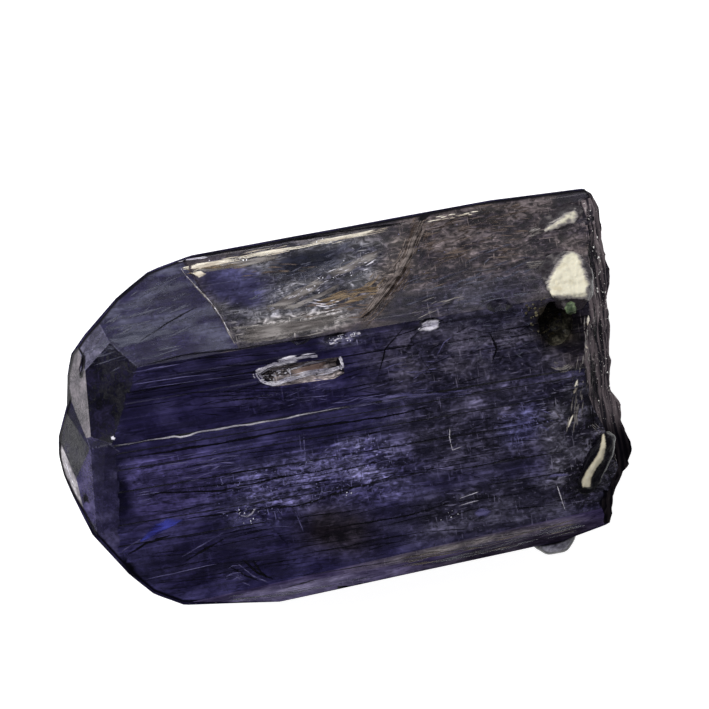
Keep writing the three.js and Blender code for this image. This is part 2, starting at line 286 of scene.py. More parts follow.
@dataclass(frozen=True)
class TanzaniteFinish:
    """Violet-blue glass that is clear in places and veiled in others.

    Attributes:
        name: Name of the material.
        refraction: Its index of refraction.
        body_colour: Colour of the light that its inside lets through.
        density: How strongly its inside absorbs, per metre.
        clear_tint: Tint of the clear skin.
        worn_glint_tint: Colour of the rubbed edges between facets, pale as a painted glint.
        rim_shade_tint: Colour of the painted dark shade along the outline.
        speck_gain: How much brighter the small flecks are than the patches; the flecks are specks in
            the veils, made bright as painted sparkle.
        veil_gloss: Specular level of the veils.
        relief: Height of the etching.
        worn_glint_width: Distances from a facet's edge over which its rubbing and painted glint fade
            out.
        rim_shade_width: Distances from the outline over which its painted dark shade fades out.
        patch_edge: Values of the patch noise over which one colour gives way to the other.
        line_doublings: Doublings of brightness between the darkest and the palest striation.
        worm_doublings: The same for the worm-like etching, without flecks, and what flecks add.
        patch_doublings: The same for the patches.
        thread_doublings: The same for the dark threads.
    """

    name: str = "tanzanite"
    refraction: float = 1.69
    body_colour: Colour = (0.20, 0.17, 0.42)
    density: float = 340.0
    clear_tint: Colour = (0.86, 0.84, 0.92)
    worn_glint_tint: Colour = tone(130, 128, 150)
    rim_shade_tint: Colour = tone(10, 9, 15)
    speck_gain: Colour = (2.6, 2.6, 2.5)
    veil_gloss: float = 0.07
    relief: float = 0.010
    worn_glint_width: Place = (0.012, 0.07)
    rim_shade_width: Place = (0.09, 0.23)
    patch_edge: Place = (0.42, 0.6)
    line_doublings: float = 3.6
    worm_doublings: Place = (1.4, 5.5)
    patch_doublings: float = 2.7
    thread_doublings: float = 0.9

    def build(self) -> bpy.types.Material:
        """Build the material.

        Returns:
            The material, which reads the corner attributes look, other and wear_and_shade.
        """
        material, graph, spot = new_material(self.name)
        look, other, wear_and_shade = (graph.node("ShaderNodeAttribute", {"attribute_name": name})
                             for name in ("look", "other", "wear_and_shade"))
        tint, frost = Signal(graph, look.outputs["Color"]), Signal(graph, look.outputs["Alpha"])
        second, speckle = (Signal(graph, other.outputs[name]) for name in ("Color", "Alpha"))
        parts = graph.node("ShaderNodeSeparateColor", inputs={"Color": wear_and_shade.outputs["Color"]})
        rough, rim, crease = (Signal(graph, parts.outputs[name]) for name in ("Red", "Green", "Blue"))
        lined = Signal(graph, wear_and_shade.outputs["Alpha"])

        along = graph.streaks(spot, along=0.07, across=2.6, seed=1.0)
        hair = graph.streaks(spot, along=0.16, across=11.0, detail=2.0, seed=2.0)
        drift = graph.cloud(spot, scale=0.42, detail=4.0, seed=3.0)
        grit = graph.cloud(spot, scale=5.5, detail=2.0, seed=4.0)
        patches = graph.streaks(spot, along=0.4, across=0.85, detail=5.0, seed=5.0)
        ticks = graph.streaks(spot, along=7.5, across=0.9, detail=1.0, seed=6.0)
        dashes = graph.streaks(spot, along=1.1, across=8.0, detail=1.0, seed=7.0)
        worms = graph.streaks(spot, along=1.7, across=2.6, detail=2.0, seed=8.0, warp=1.3)
        curls = graph.streaks(spot, along=0.16, across=1.1, detail=3.0, seed=9.0, warp=0.7)
        lines = lined * (along * 0.65 + hair * 0.35) + (1 - lined) * (drift * 0.4 + grit * 0.6)

        # Small bright flecks, partly painted sparkle; dark threads; the worn edges with a painted
        # glint; and the dark outline, painted shade where the glass darkens at its edges.
        flecks = graph.largest(ticks.step(0.64, 0.72), dashes.step(0.62, 0.72), grit.step(0.64, 0.70))
        specks = (flecks * speckle * drift.step(0.35, 0.65, 0.35, 1.0) * 0.9).clipped()
        threads = graph.math("ABSOLUTE", curls - 0.5).step(0.003, 0.016, 1.0, 0.0) * lined
        worn_glint = crease.step(*self.worn_glint_width, 1.0, 0.0) * grit.step(0.42, 0.62) * 0.25
        shade = rim.step(*self.rim_shade_width, 1.0, 0.0) * 0.97

        # How bright each place is, in doublings, and how much of it is veiled.
        worm_least, worm_more = self.worm_doublings
        relief = ((lines - 0.5) * self.line_doublings
                  + (worms - 0.5) * (worm_least + worm_more * speckle)
                  + (patches - 0.5) * self.patch_doublings - threads * self.thread_doublings)
        veil = (frost * (1 + (lines - 0.5) * 1.8) * drift.step(0.25, 0.75, 0.75, 1.2)
                + (worms - 0.5) * speckle * 0.8).clipped()
        opaque = graph.largest(veil, specks, worn_glint, shade)

        bright = graph.math("POWER", 2.0, relief)
        gain = graph.signal("ShaderNodeCombineColor", inputs={
            name: bright for name in ("Red", "Green", "Blue")})
        colour = graph.blend(patches.step(*self.patch_edge), tint, second)
        colour = graph.blend(1.0, colour, gain, "MULTIPLY")
        colour = graph.blend(specks, colour, graph.blend(1.0, second, self.speck_gain, "MULTIPLY"))
        colour = graph.blend(worn_glint, colour, self.worn_glint_tint)
        colour = graph.blend(shade, colour, self.rim_shade_tint)

        skin = {"Roughness": (rough + (grit - 0.5) * 0.08 + worn_glint * 0.2).clipped(),
                "IOR": self.refraction,
                "Normal": graph.bump(lines + worms * speckle * 1.5, self.relief)}
        clear = graph.principled(Base_Color=self.clear_tint, Transmission_Weight=1.0, **skin)
        milky = graph.principled(Base_Color=colour, Specular_IOR_Level=self.veil_gloss, **skin)
        mixed = graph.node("ShaderNodeMixShader", inputs={0: opaque, 1: clear, 2: milky})
        inside = graph.node("ShaderNodeVolumeAbsorption", inputs={
            "Color": self.body_colour, "Density": self.density})
        graph.output(mixed.outputs[0], Volume=inside.outputs[0])
        return material


@dataclass(frozen=True)
class BreakFinish:
    """The broken base: brown layers, dull steps and a glassy black hollow.

    Attributes:
        layers: Colour of the layers.
        pale: Colour of their bright edges.
        dark: Colour of the gaps between them.
        glass: Colour of the glassy hollow.
        spark: Colour of the tiny glints.
        glassy_ends: Places across the crystal between which the glassy hollow ends.
    """

    layers: Colour = tone(104, 95, 98)
    pale: Colour = tone(182, 173, 172)
    dark: Colour = tone(40, 38, 43)
    glass: Colour = tone(12, 11, 16)
    spark: Colour = tone(214, 210, 206)
    glassy_ends: Place = (-4.8, -2.6)

    def build(self) -> bpy.types.Material:
        """Build the material.

        Returns:
            The material.
        """
        material, graph, spot = new_material("broken_base")
        axes = graph.node("ShaderNodeSeparateXYZ", inputs={"Vector": spot})
        across = Signal(graph, axes.outputs["Y"])
        layered = graph.cloud(graph.stretched(spot, (3.4, 0.22, 0.9)), scale=1.0, detail=4.0, seed=11.0)
        grains = graph.cloud(spot, scale=3.0, detail=4.0, seed=12.0)
        sparks = graph.cloud(spot, scale=8.0, detail=1.0, seed=13.0).step(0.67, 0.74)
        glassy = across.step(*self.glassy_ends, 1.0, 0.0)
        colour = graph.blend(layered.step(0.40, 0.60), self.dark, self.layers)
        colour = graph.blend(layered.step(0.60, 0.72) * grains.step(0.4, 0.6), colour, self.pale)
        colour = graph.blend(glassy * 0.9, colour, self.glass)
        colour = graph.blend(sparks * (1 - glassy) * 0.8, colour, self.spark)
        graph.output(graph.principled(
            Base_Color=colour, Roughness=(0.52 - glassy * 0.40 + (grains - 0.5) * 0.3).clipped(),
            Specular_IOR_Level=0.0, Normal=graph.bump(layered + grains * 0.5, 0.05, 0.9)))
        return material


@dataclass(frozen=True)
class CalciteFinish:
    """Cream, chalky calcite with a little stain, and the dark matrix around it.

    Attributes:
        name: Name of the material.
        feather: How far the chalk's edge is frayed.
        matrix: Colour of the matrix.
        chalk: Colour of the chalk.
        stain: Colour of its stains.
        smear: Colour of its thin edge.
        mottle: Colour of the spots in the matrix.
    """

    name: str
    feather: float = 0.7
    matrix: Colour = tone(44, 40, 44)
    chalk: Colour = tone(203, 198, 178)
    stain: Colour = tone(176, 166, 138)
    smear: Colour = tone(122, 117, 116)
    mottle: Colour = tone(122, 117, 116)

    def build(self) -> bpy.types.Material:
        """Build the material, which reads how far inside the chalk each place is.

        Returns:
            The material.
        """
        material, graph, spot = new_material(self.name)
        inside = graph.signal("ShaderNodeAttribute", {"attribute_name": "inside"}, output="Fac")
        stains = graph.cloud(spot, scale=1.0, detail=4.0, seed=5.0).step(0.52, 0.70)
        grains = graph.cloud(spot, scale=6.0, detail=3.0, seed=6.0)
        frayed = graph.streaks(spot, along=1.2, across=3.4, detail=4.0, seed=7.0, warp=0.6)
        edge = inside + (frayed - 0.5) * self.feather + (grains - 0.5) * self.feather * 0.3
        chalky = edge.step(-0.06, 0.06)
        colour = graph.blend(stains * 0.7, self.chalk, self.stain)
        colour = graph.blend(edge.step(0.04, 0.30), self.smear, colour)
        mottled = graph.blend(stains * grains, self.matrix, self.mottle)
        graph.output(graph.principled(
            Base_Color=graph.blend(chalky, mottled, colour), Roughness=chalky * 0.35 + grains * 0.5,
            Specular_IOR_Level=0.3, Subsurface_Weight=0.1,
            Subsurface_Radius=(0.5 * MM, 0.4 * MM, 0.3 * MM), Normal=graph.bump(grains, 0.03, 0.8)))
        return material


@dataclass(frozen=True)
class VeilFinish:
    """A thin sheet of healed fracture or etched line, seen as a soft patchy film; some are painted
    light instead: highlights, reflections and the pale floor seen through the rim.

    Attributes:
        name: Name of the material.
        colour: Its colour.
        other: Colour of the patches in it.
        cover: How much it hides where it is solid.
        roughness: How dull it is at its smoothest.
    """

    name: str
    colour: Colour
    other: Colour
    cover: float = 0.85
    roughness: float = 0.3

    def build(self) -> bpy.types.Material:
        """Build the material, which reads the attribute fade of its sheet.

        Returns:
            The material.
        """
        material, graph, spot = new_material(self.name)
        fade = graph.signal("ShaderNodeAttribute", {"attribute_name": "fade"}, output="Fac")
        patches = graph.streaks(spot, along=0.5, across=2.6, detail=4.0, seed=7.0)
        grain = graph.cloud(spot, scale=7.0, detail=3.0, seed=8.0)
        ragged = fade * 1.7 + (patches - 0.5) * 1.8 + (grain - 0.5) * 0.9 - 0.3
        graph.output(graph.principled(
            Base_Color=graph.blend(patches.step(0.4, 0.6), self.colour, self.other),
            Roughness=grain.step(0.2, 0.8, self.roughness, self.roughness + 0.25),
            Specular_IOR_Level=0.25, Alpha=ragged.clipped() * self.cover))
        return material


@dataclass(frozen=True)
class SparkFinish:
    """Tiny bright plates and grains.

    Attributes:
        name: Name of the material.
        colour: Their colour.
        other: The colour that some of them turn to.
        metallic: How much they shine like metal.
        roughness: How dull they are.
    """

    name: str
    colour: Colour
    other: Colour
    metallic: float = 0.0
    roughness: float = 0.25

    def build(self) -> bpy.types.Material:
        """Build the material.

        Returns:
            The material.
        """
        material, graph, spot = new_material(self.name)
        grain = graph.cloud(spot, scale=2.2, detail=2.0, seed=14.0)
        graph.output(graph.principled(
            Base_Color=graph.blend(grain.step(0.4, 0.6), self.colour, self.other),
            Roughness=self.roughness, Metallic=self.metallic))
        return material


# ---------------------------------------------------------------------------- meshes


def merged_copy(node: str) -> bmesh.types.BMesh:
    """Copy a node's loose triangles and join them where they meet.

    Args:
        node: Name of the node.

    Returns:
        The closed copy, in metres.
    """
    solid = bmesh.new()
    solid.from_mesh(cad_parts[node].data)
    bmesh.ops.remove_doubles(solid, verts=solid.verts, dist=WELD)
    solid.normal_update()
    return solid


@dataclass
class Shell:
    """A closed triangle mesh held as arrays, in millimetres.

    Attributes:
        spots: Place of each vertex.
        faces: The three vertices of each face.
        kinds: Kind of each face.
    """

    spots: np.ndarray
    faces: np.ndarray
    kinds: np.ndarray

    @classmethod
    def of(cls, solid: bmesh.types.BMesh, kinds: Sequence[int]) -> "Shell":
        """Take the mesh out of a triangulated bmesh, and free that.

        Args:
            solid: The bmesh, in metres.
            kinds: Kind of each face.

        Returns:
            The shell.
        """
        spots = np.array([vertex.co[:] for vertex in solid.verts]) / MM
        faces = np.array([[vertex.index for vertex in face.verts] for face in solid.faces])
        solid.free()
        return cls(spots, faces, np.array(kinds))

    def refine(self, limit: Callable[[np.ndarray], np.ndarray], rounds: int = 10) -> None:
        """Halve long edges until every one is short, without moving the surface.

        Args:
            limit: Function from places to the longest edge there.
            rounds: Most times that edges are halved.
        """
        for _ in range(rounds):
            pairs = np.sort(self.faces[:, SIDES].reshape(-1, 2), axis=1)
            edges, back = np.unique(pairs, axis=0, return_inverse=True)
            first, last = self.spots[edges[:, 0]], self.spots[edges[:, 1]]
            middle = (first + last) / 2
            long_edges = np.linalg.norm(last - first, axis=1) > limit(middle)
            if not long_edges.any():
                return
            number = np.full(len(edges), -1)
            number[long_edges] = len(self.spots) + np.arange(long_edges.sum())
            self.spots = np.vstack((self.spots, middle[long_edges]))
            self.divide(number[back.reshape(-1, 3)])

    def divide(self, halves: np.ndarray) -> None:
        """Cut each face at the middles of its halved edges.

        Args:
            halves: New vertex on each face's edges, or -1 where an edge stays whole.
        """
        faces, kinds = [], []
        marked = halves >= 0
        count = marked.sum(axis=1)
        for turn in range(3):
            a, b, c = (self.faces[:, (turn + k) % 3] for k in range(3))
            ab, bc, ca = (halves[:, (turn + k) % 3] for k in range(3))
            alone = (count == 1) & marked[:, turn]
            cuts = [(alone, (a, ab, c)), (alone, (ab, b, c))]
            both = (count == 2) & ~marked[:, (turn + 2) % 3]
            cuts += [(both, (ab, b, bc)), (both, (a, ab, bc)), (both, (a, bc, c))]
            if turn == 0:
                whole, every = count == 0, count == 3
                cuts += [(whole, (a, b, c)), (every, (a, ab, ca)), (every, (ab, b, bc)),
                         (every, (ca, bc, c)), (every, (ab, bc, ca))]
            for chosen, corners in cuts:
                faces.append(np.stack(corners, axis=1)[chosen])
                kinds.append(self.kinds[chosen])
        self.faces, self.kinds = np.vstack(faces), np.concatenate(kinds)

    def normals(self) -> np.ndarray:
        """Work out the outward direction at each vertex.

        Returns:
            The directions, in rows.
        """
        a, b, c = (self.spots[self.faces[:, k]] for k in range(3))
        across = np.cross(b - a, c - a)
        total = np.zeros_like(self.spots)
        for k in range(3):
            np.add.at(total, self.faces[:, k], across)
        return total / np.maximum(np.linalg.norm(total, axis=1, keepdims=True), TINY)

    def vertex_share(self, kind: int) -> np.ndarray:
        """Work out what share of the faces around each vertex is of one kind.

        Args:
            kind: The kind of face.

        Returns:
            The share at each vertex.
        """
        hits, count = np.zeros(len(self.spots)), np.zeros(len(self.spots))
        for k in range(3):
            np.add.at(hits, self.faces[:, k], self.kinds == kind)
            np.add.at(count, self.faces[:, k], 1.0)
        return hits / np.maximum(count, 1.0)

    def mesh(self, name: str, crisp: float, shape: Callable[["Shell"], None]) -> bpy.types.Mesh:
        """Make a Blender mesh, keep its crisp edges, and then shape its skin.

        Args:
            name: Name of the mesh.
            crisp: Angle past which an edge stays crisp, in degrees.
            shape: Function that moves the shell's vertices.

        Returns:
            The mesh, in metres.
        """
        mesh = bpy.data.meshes.new(name)
        mesh.from_pydata((self.spots * MM).tolist(), [], self.faces.tolist())
        mesh.shade_smooth()
        mesh.set_sharp_from_angle(angle=math.radians(crisp))
        shape(self)
        mesh.vertices.foreach_set("co", (self.spots * MM).ravel())
        mesh.update()
        return mesh


def place_piece(name: str, mesh: bpy.types.Mesh, material: bpy.types.Material, slot: str,
                *nodes: str) -> bpy.types.Object:
    """Make a finished mesh a piece of the model.

    Args:
        name: Name of the piece.
        mesh: Its mesh, in place.
        material: Its finish.
        slot: The record's material slot; not used.
        nodes: The plain nodes that it replaces.

    Returns:
        The piece.
    """
    mesh.materials.append(material)
    piece = bpy.data.objects.new(name, mesh)
    bpy.context.scene.collection.objects.link(piece)
    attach(piece, "root")
    if nodes:
        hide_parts(*nodes)
    log.info("%s: %d triangles", name, sum(len(face.vertices) - 2 for face in mesh.polygons))
    return piece


# ----------------------------------------------------------------------- crystal body


class Facet(IntEnum):
    """The kinds of surface on the crystal."""

    UPPER = 0
    CROWN = 1
    SLOPE = 2
    BEVEL = 3
    WINDOW = 4
    ROOF = 5
    SHOULDER = 6
    BROW = 7
    SEAM = 8
    STEP = 9
    CHEEK = 10
    SNOUT = 11
    LIP = 12
    SIDE = 13
    BREAK = 14
    PIT = 15
    NUB = 16
    HOLE = 17
    RISER = 18
    GIRDLE = 19


@dataclass(frozen=True)
class FacetLook:
    """How one kind of surface looks before its zones.

    Attributes:
        tint: Colour of its veils.
        second: Colour of the patches in them.
        frost: Share of it that is veiled, 0 to 1.
        speckle: Strength of the small flecks in it.
        roughness: How dull its polish is.
        lined: 1 where it is striated along the crystal, 0 where it is etched evenly.
    """

    tint: Colour
    second: Colour
    frost: float
    speckle: float
    roughness: float
    lined: float


LOOKS: dict[Facet, FacetLook] = {
    Facet.UPPER: FacetLook(tone(54, 50, 62), tone(74, 67, 68), 0.70, 0.35, 0.10, 0.7),
    Facet.CROWN: FacetLook(tone(35, 32, 58), tone(44, 41, 68), 0.84, 0.12, 0.10, 1.0),
    Facet.SLOPE: FacetLook(tone(43, 40, 70), tone(57, 54, 88), 0.84, 0.18, 0.10, 1.0),
    # The bevel: its own violet, painted paler as reflection of the floor that it leans over.
    Facet.BEVEL: FacetLook(tone(68, 60, 94), tone(86, 78, 112), 1.60, 0.1, 0.30, 1.0),
    Facet.WINDOW: FacetLook(tone(45, 42, 66), tone(66, 66, 82), 0.85, 0.15, 0.14, 0.6),
    Facet.ROOF: FacetLook(tone(12, 11, 22), tone(24, 22, 36), 0.95, 0.80, 0.20, 0.1),
    Facet.SHOULDER: FacetLook(tone(76, 74, 92), tone(90, 88, 104), 0.90, 0.20, 0.18, 0.2),
    # The brow: painted pale grey as reflection of the floor on this steep end facet.
    Facet.BROW: FacetLook(tone(82, 78, 84), tone(96, 91, 96), 0.95, 0.05, 0.16, 0.1),
    Facet.SEAM: FacetLook(tone(32, 30, 50), tone(42, 40, 60), 0.92, 0.25, 0.18, 0.2),
    Facet.STEP: FacetLook(tone(46, 43, 68), tone(60, 57, 82), 0.92, 0.15, 0.12, 0.3),
    Facet.CHEEK: FacetLook(tone(58, 54, 86), tone(74, 69, 100), 0.92, 0.12, 0.12, 0.2),
    Facet.SNOUT: FacetLook(tone(20, 19, 30), tone(34, 32, 44), 0.95, 0.80, 0.18, 0.1),
    # The lip: painted pale grey as reflection of the floor on this steep end facet.
    Facet.LIP: FacetLook(tone(110, 106, 114), tone(156, 152, 156), 1.60, 0.10, 0.30, 0.1),
    Facet.SIDE: FacetLook(tone(27, 25, 46), tone(41, 38, 64), 0.84, 0.5, 0.16, 1.0),
    Facet.BREAK: FacetLook(tone(46, 39, 40), tone(60, 50, 46), 0.95, 0.0, 0.28, 0.0),
    Facet.PIT: FacetLook(tone(72, 66, 68), tone(120, 112, 112), 0.90, 1.0, 0.12, 0.4),
    Facet.NUB: FacetLook(tone(150, 148, 160), tone(84, 82, 94), 1.30, 0.6, 0.06, 0.0),
    # The hollow: painted near-black as its shade, flecked brown.
    Facet.HOLE: FacetLook(tone(24, 22, 22), tone(50, 48, 42), 0.97, 1.2, 0.40, 0.0),
    Facet.RISER: FacetLook(tone(12, 10, 18), tone(20, 18, 28), 1.0, 0.0, 0.45, 0.5),
    # The band over the girdle is painted dark as the outline's shade.
    Facet.GIRDLE: FacetLook(tone(24, 22, 38), tone(42, 39, 62), 2.0, 0.0, 0.30, 1.0),
}

END_NORMALS: dict[Facet, Triple] = {
    Facet.ROOF: (-0.60, 0.2315, 1.0),
    Facet.SHOULDER: (-0.76, 0.434, 1.0),
    Facet.BROW: (-1.60, 0.304, 1.0),
    Facet.SEAM: (-0.60, 0.55, 1.0),
    Facet.STEP: (-0.60, -0.235, 1.0),
    Facet.CHEEK: (-0.95, -0.20, 1.0),
    Facet.SNOUT: (-1.45, 0.15, 1.0),
    Facet.LIP: (-3.30, -0.354, 1.0),
}


# Faces without gloss: the pale tints of the bevel and the lip are painted reflection of the floor, and
# the dark girdle band is painted shade of the outline.
DULL_KINDS = (Facet.BEVEL, Facet.GIRDLE, Facet.LIP)
RIMLESS_KINDS = (Facet.SIDE, Facet.GIRDLE, Facet.BEVEL)
# Facets whose shared edges are rubbed and carry a painted pale glint.
WORN_GLINT_KINDS = {Facet.WINDOW, Facet.ROOF, Facet.SHOULDER, Facet.SEAM, Facet.STEP, Facet.CHEEK}


@dataclass(frozen=True)
class Survey:
    """Tells the kinds of surface apart by where a face lies and which way it looks.

    Attributes:
        knob: Middle of the grown knob.
        knob_half: Half its size on each axis.
        knob_reach: How far out a face of it may lie, in those halves.
        knob_face: Largest face of it, in square millimetres.
        hole: Middle of the dark hole, in plan.
        hole_reach: Its radius.
        hole_top: Height that its faces stay under.
        pit: Least and most place of the pit, along the crystal and across it.
        pit_top: Height that its faces stay under.
        walls: Places across the crystal past which a steep face is a wall, on either side.
        tip: Where along the crystal the facets of its end begin.
        snout: Where along it a steep face is a wall at any place across.
        base: Where along it the broken base begins.
        base_end: Where along it every face is broken.
        wall_rise: Most upward part of a wall's normal.
        girdle_rise: Least upward part of the normal of the band over the girdle.
        undercut: Upward part of the normal under which a face is always a wall.
        base_lean: Least forward part of the normal of a broken face, and most of a wall's.
        tip_lean: Most forward part of the normal of a facet of the end.
        riser_rise: Most upward part of the normal of the small risers.
        ridge: Place across of the crystal's highest edge.
        middle: Place across of the edge between the flat face and the front face.
        front: Place across of the edge between the front face and the bevel.
        window_end: Where along the crystal the window facet ends.
        window_lean: Least sideways part of its normal.
        bevel_lean: Most sideways part of the bevel's normal.
    """

    knob: Triple = (12.5, -10.95, 6.9)
    knob_half: Triple = (1.5, 1.2, 1.35)
    knob_reach: float = 1.2
    knob_face: float = 2.0
    hole: Place = (14.66, 3.2)
    hole_reach: float = 1.75
    hole_top: float = 15.05
    pit: tuple[Place, Place] = ((-5.4, 0.8), (1.8, 3.9))
    pit_top: float = 15.0
    walls: float = 9.6
    tip: float = -12.0
    snout: float = -11.0
    base: float = 13.0
    base_end: float = 17.6
    wall_rise: float = 0.16
    girdle_rise: float = 0.003
    undercut: float = -0.1
    base_lean: float = 0.3
    tip_lean: float = -0.2
    riser_rise: float = 0.8
    ridge: float = 4.9
    middle: float = 0.12
    front: float = -9.5
    window_end: float = -6.3
    window_lean: float = 0.57
    bevel_lean: float = -0.7

    def on_knob(self, spot: Vector, area: float) -> bool:
        """Say whether a face belongs to the knob, by its middle and its area."""
        out = [(place - centre) / half for place, centre, half in zip(spot, self.knob, self.knob_half)]
        return Vector(out).length < self.knob_reach and area < self.knob_face

    def is_wall(self, spot: Vector, normal: Vector) -> bool:
        """Say whether a face is one of the steep sides, by its middle and its normal."""
        outer = abs(spot.y) > self.walls or spot.x < self.snout or normal.z < self.undercut
        return normal.z < self.wall_rise and normal.x < self.base_lean and outer

    def in_pit(self, spot: Vector) -> bool:
        """Say whether a face lies in the pit."""
        inside = all(low < place < high for place, (low, high) in zip(spot, self.pit))
        return inside and spot.z < self.pit_top

    def kind(self, face: bmesh.types.BMFace) -> Facet:
        """Say which kind of surface a face of the plain solid belongs to.

        Args:
            face: The face, in metres.

        Returns:
            Its kind.
        """
        normal, spot = face.normal, face.calc_center_median() / MM
        if self.on_knob(spot, face.calc_area() / MM ** 2):
            return Facet.NUB
        if (spot.xy - Vector(self.hole)).length < self.hole_reach and spot.z < self.hole_top:
            return Facet.HOLE
        if self.is_wall(spot, normal):
            return Facet.GIRDLE if normal.z > self.girdle_rise else Facet.SIDE
        if normal.x < self.tip_lean and spot.x < self.tip:
            return max(END_NORMALS, key=lambda kind: normal.dot(Vector(END_NORMALS[kind]).normalized()))
        if self.in_pit(spot):
            return Facet.PIT
        if spot.x > self.base and (normal.x > self.base_lean or spot.x > self.base_end):
            return Facet.BREAK
        if normal.z < self.riser_rise and self.front < spot.y < self.ridge:
            return Facet.RISER
        if spot.y > self.ridge:
            in_window = spot.x < self.window_end and normal.y > self.window_lean
            return Facet.WINDOW if in_window else Facet.UPPER
        if spot.y > self.middle:
            return Facet.CROWN
        return Facet.BEVEL if normal.y < self.bevel_lean and spot.y < self.front else Facet.SLOPE


@dataclass(frozen=True)
class Zone:
    """A soft-edged patch of the facets with a look of its own.

    Attributes:
        centre: Its middle in plan.
        half: Half its length and half its width.
        turn: Angle of its length from the crystal's axis.
        tint: Colour of its veils.
        second: Colour of the patches in them.
        frost: Share that is veiled.
        speckle: Strength of the small flecks.
        facets: The kinds of surface that it reaches.
        edge: Share of its size over which it fades out.
        power: How square it is in plan; 2 is an ellipse.
    """

    centre: Place
    half: Place
    turn: float
    tint: Colour
    second: Colour
    frost: float
    speckle: float
    facets: tuple[Facet, ...]
    edge: float = 0.5
    power: ClassVar[int] = 3

    def weight(self, x: np.ndarray, y: np.ndarray) -> np.ndarray:
        """Work out how strongly the zone holds at points in plan.

        Args:
            x: Places along the crystal.
            y: Places across it.

        Returns:
            The strength at each, 0 to 1.
        """
        angle = math.radians(self.turn)
        dx, dy = x - self.centre[0], y - self.centre[1]
        u = (dx * math.cos(angle) + dy * math.sin(angle)) / self.half[0]
        v = (dy * math.cos(angle) - dx * math.sin(angle)) / self.half[1]
        away = (np.abs(u) ** self.power + np.abs(v) ** self.power) ** (1 / self.power)
        reach = (1 - away) / self.edge
        return np.clip(reach, 0, 1)


A_FACE, B_FACE, C_FACE, D_FACE = (Facet.UPPER,), (Facet.CROWN,), (Facet.SLOPE,), (Facet.BEVEL,)

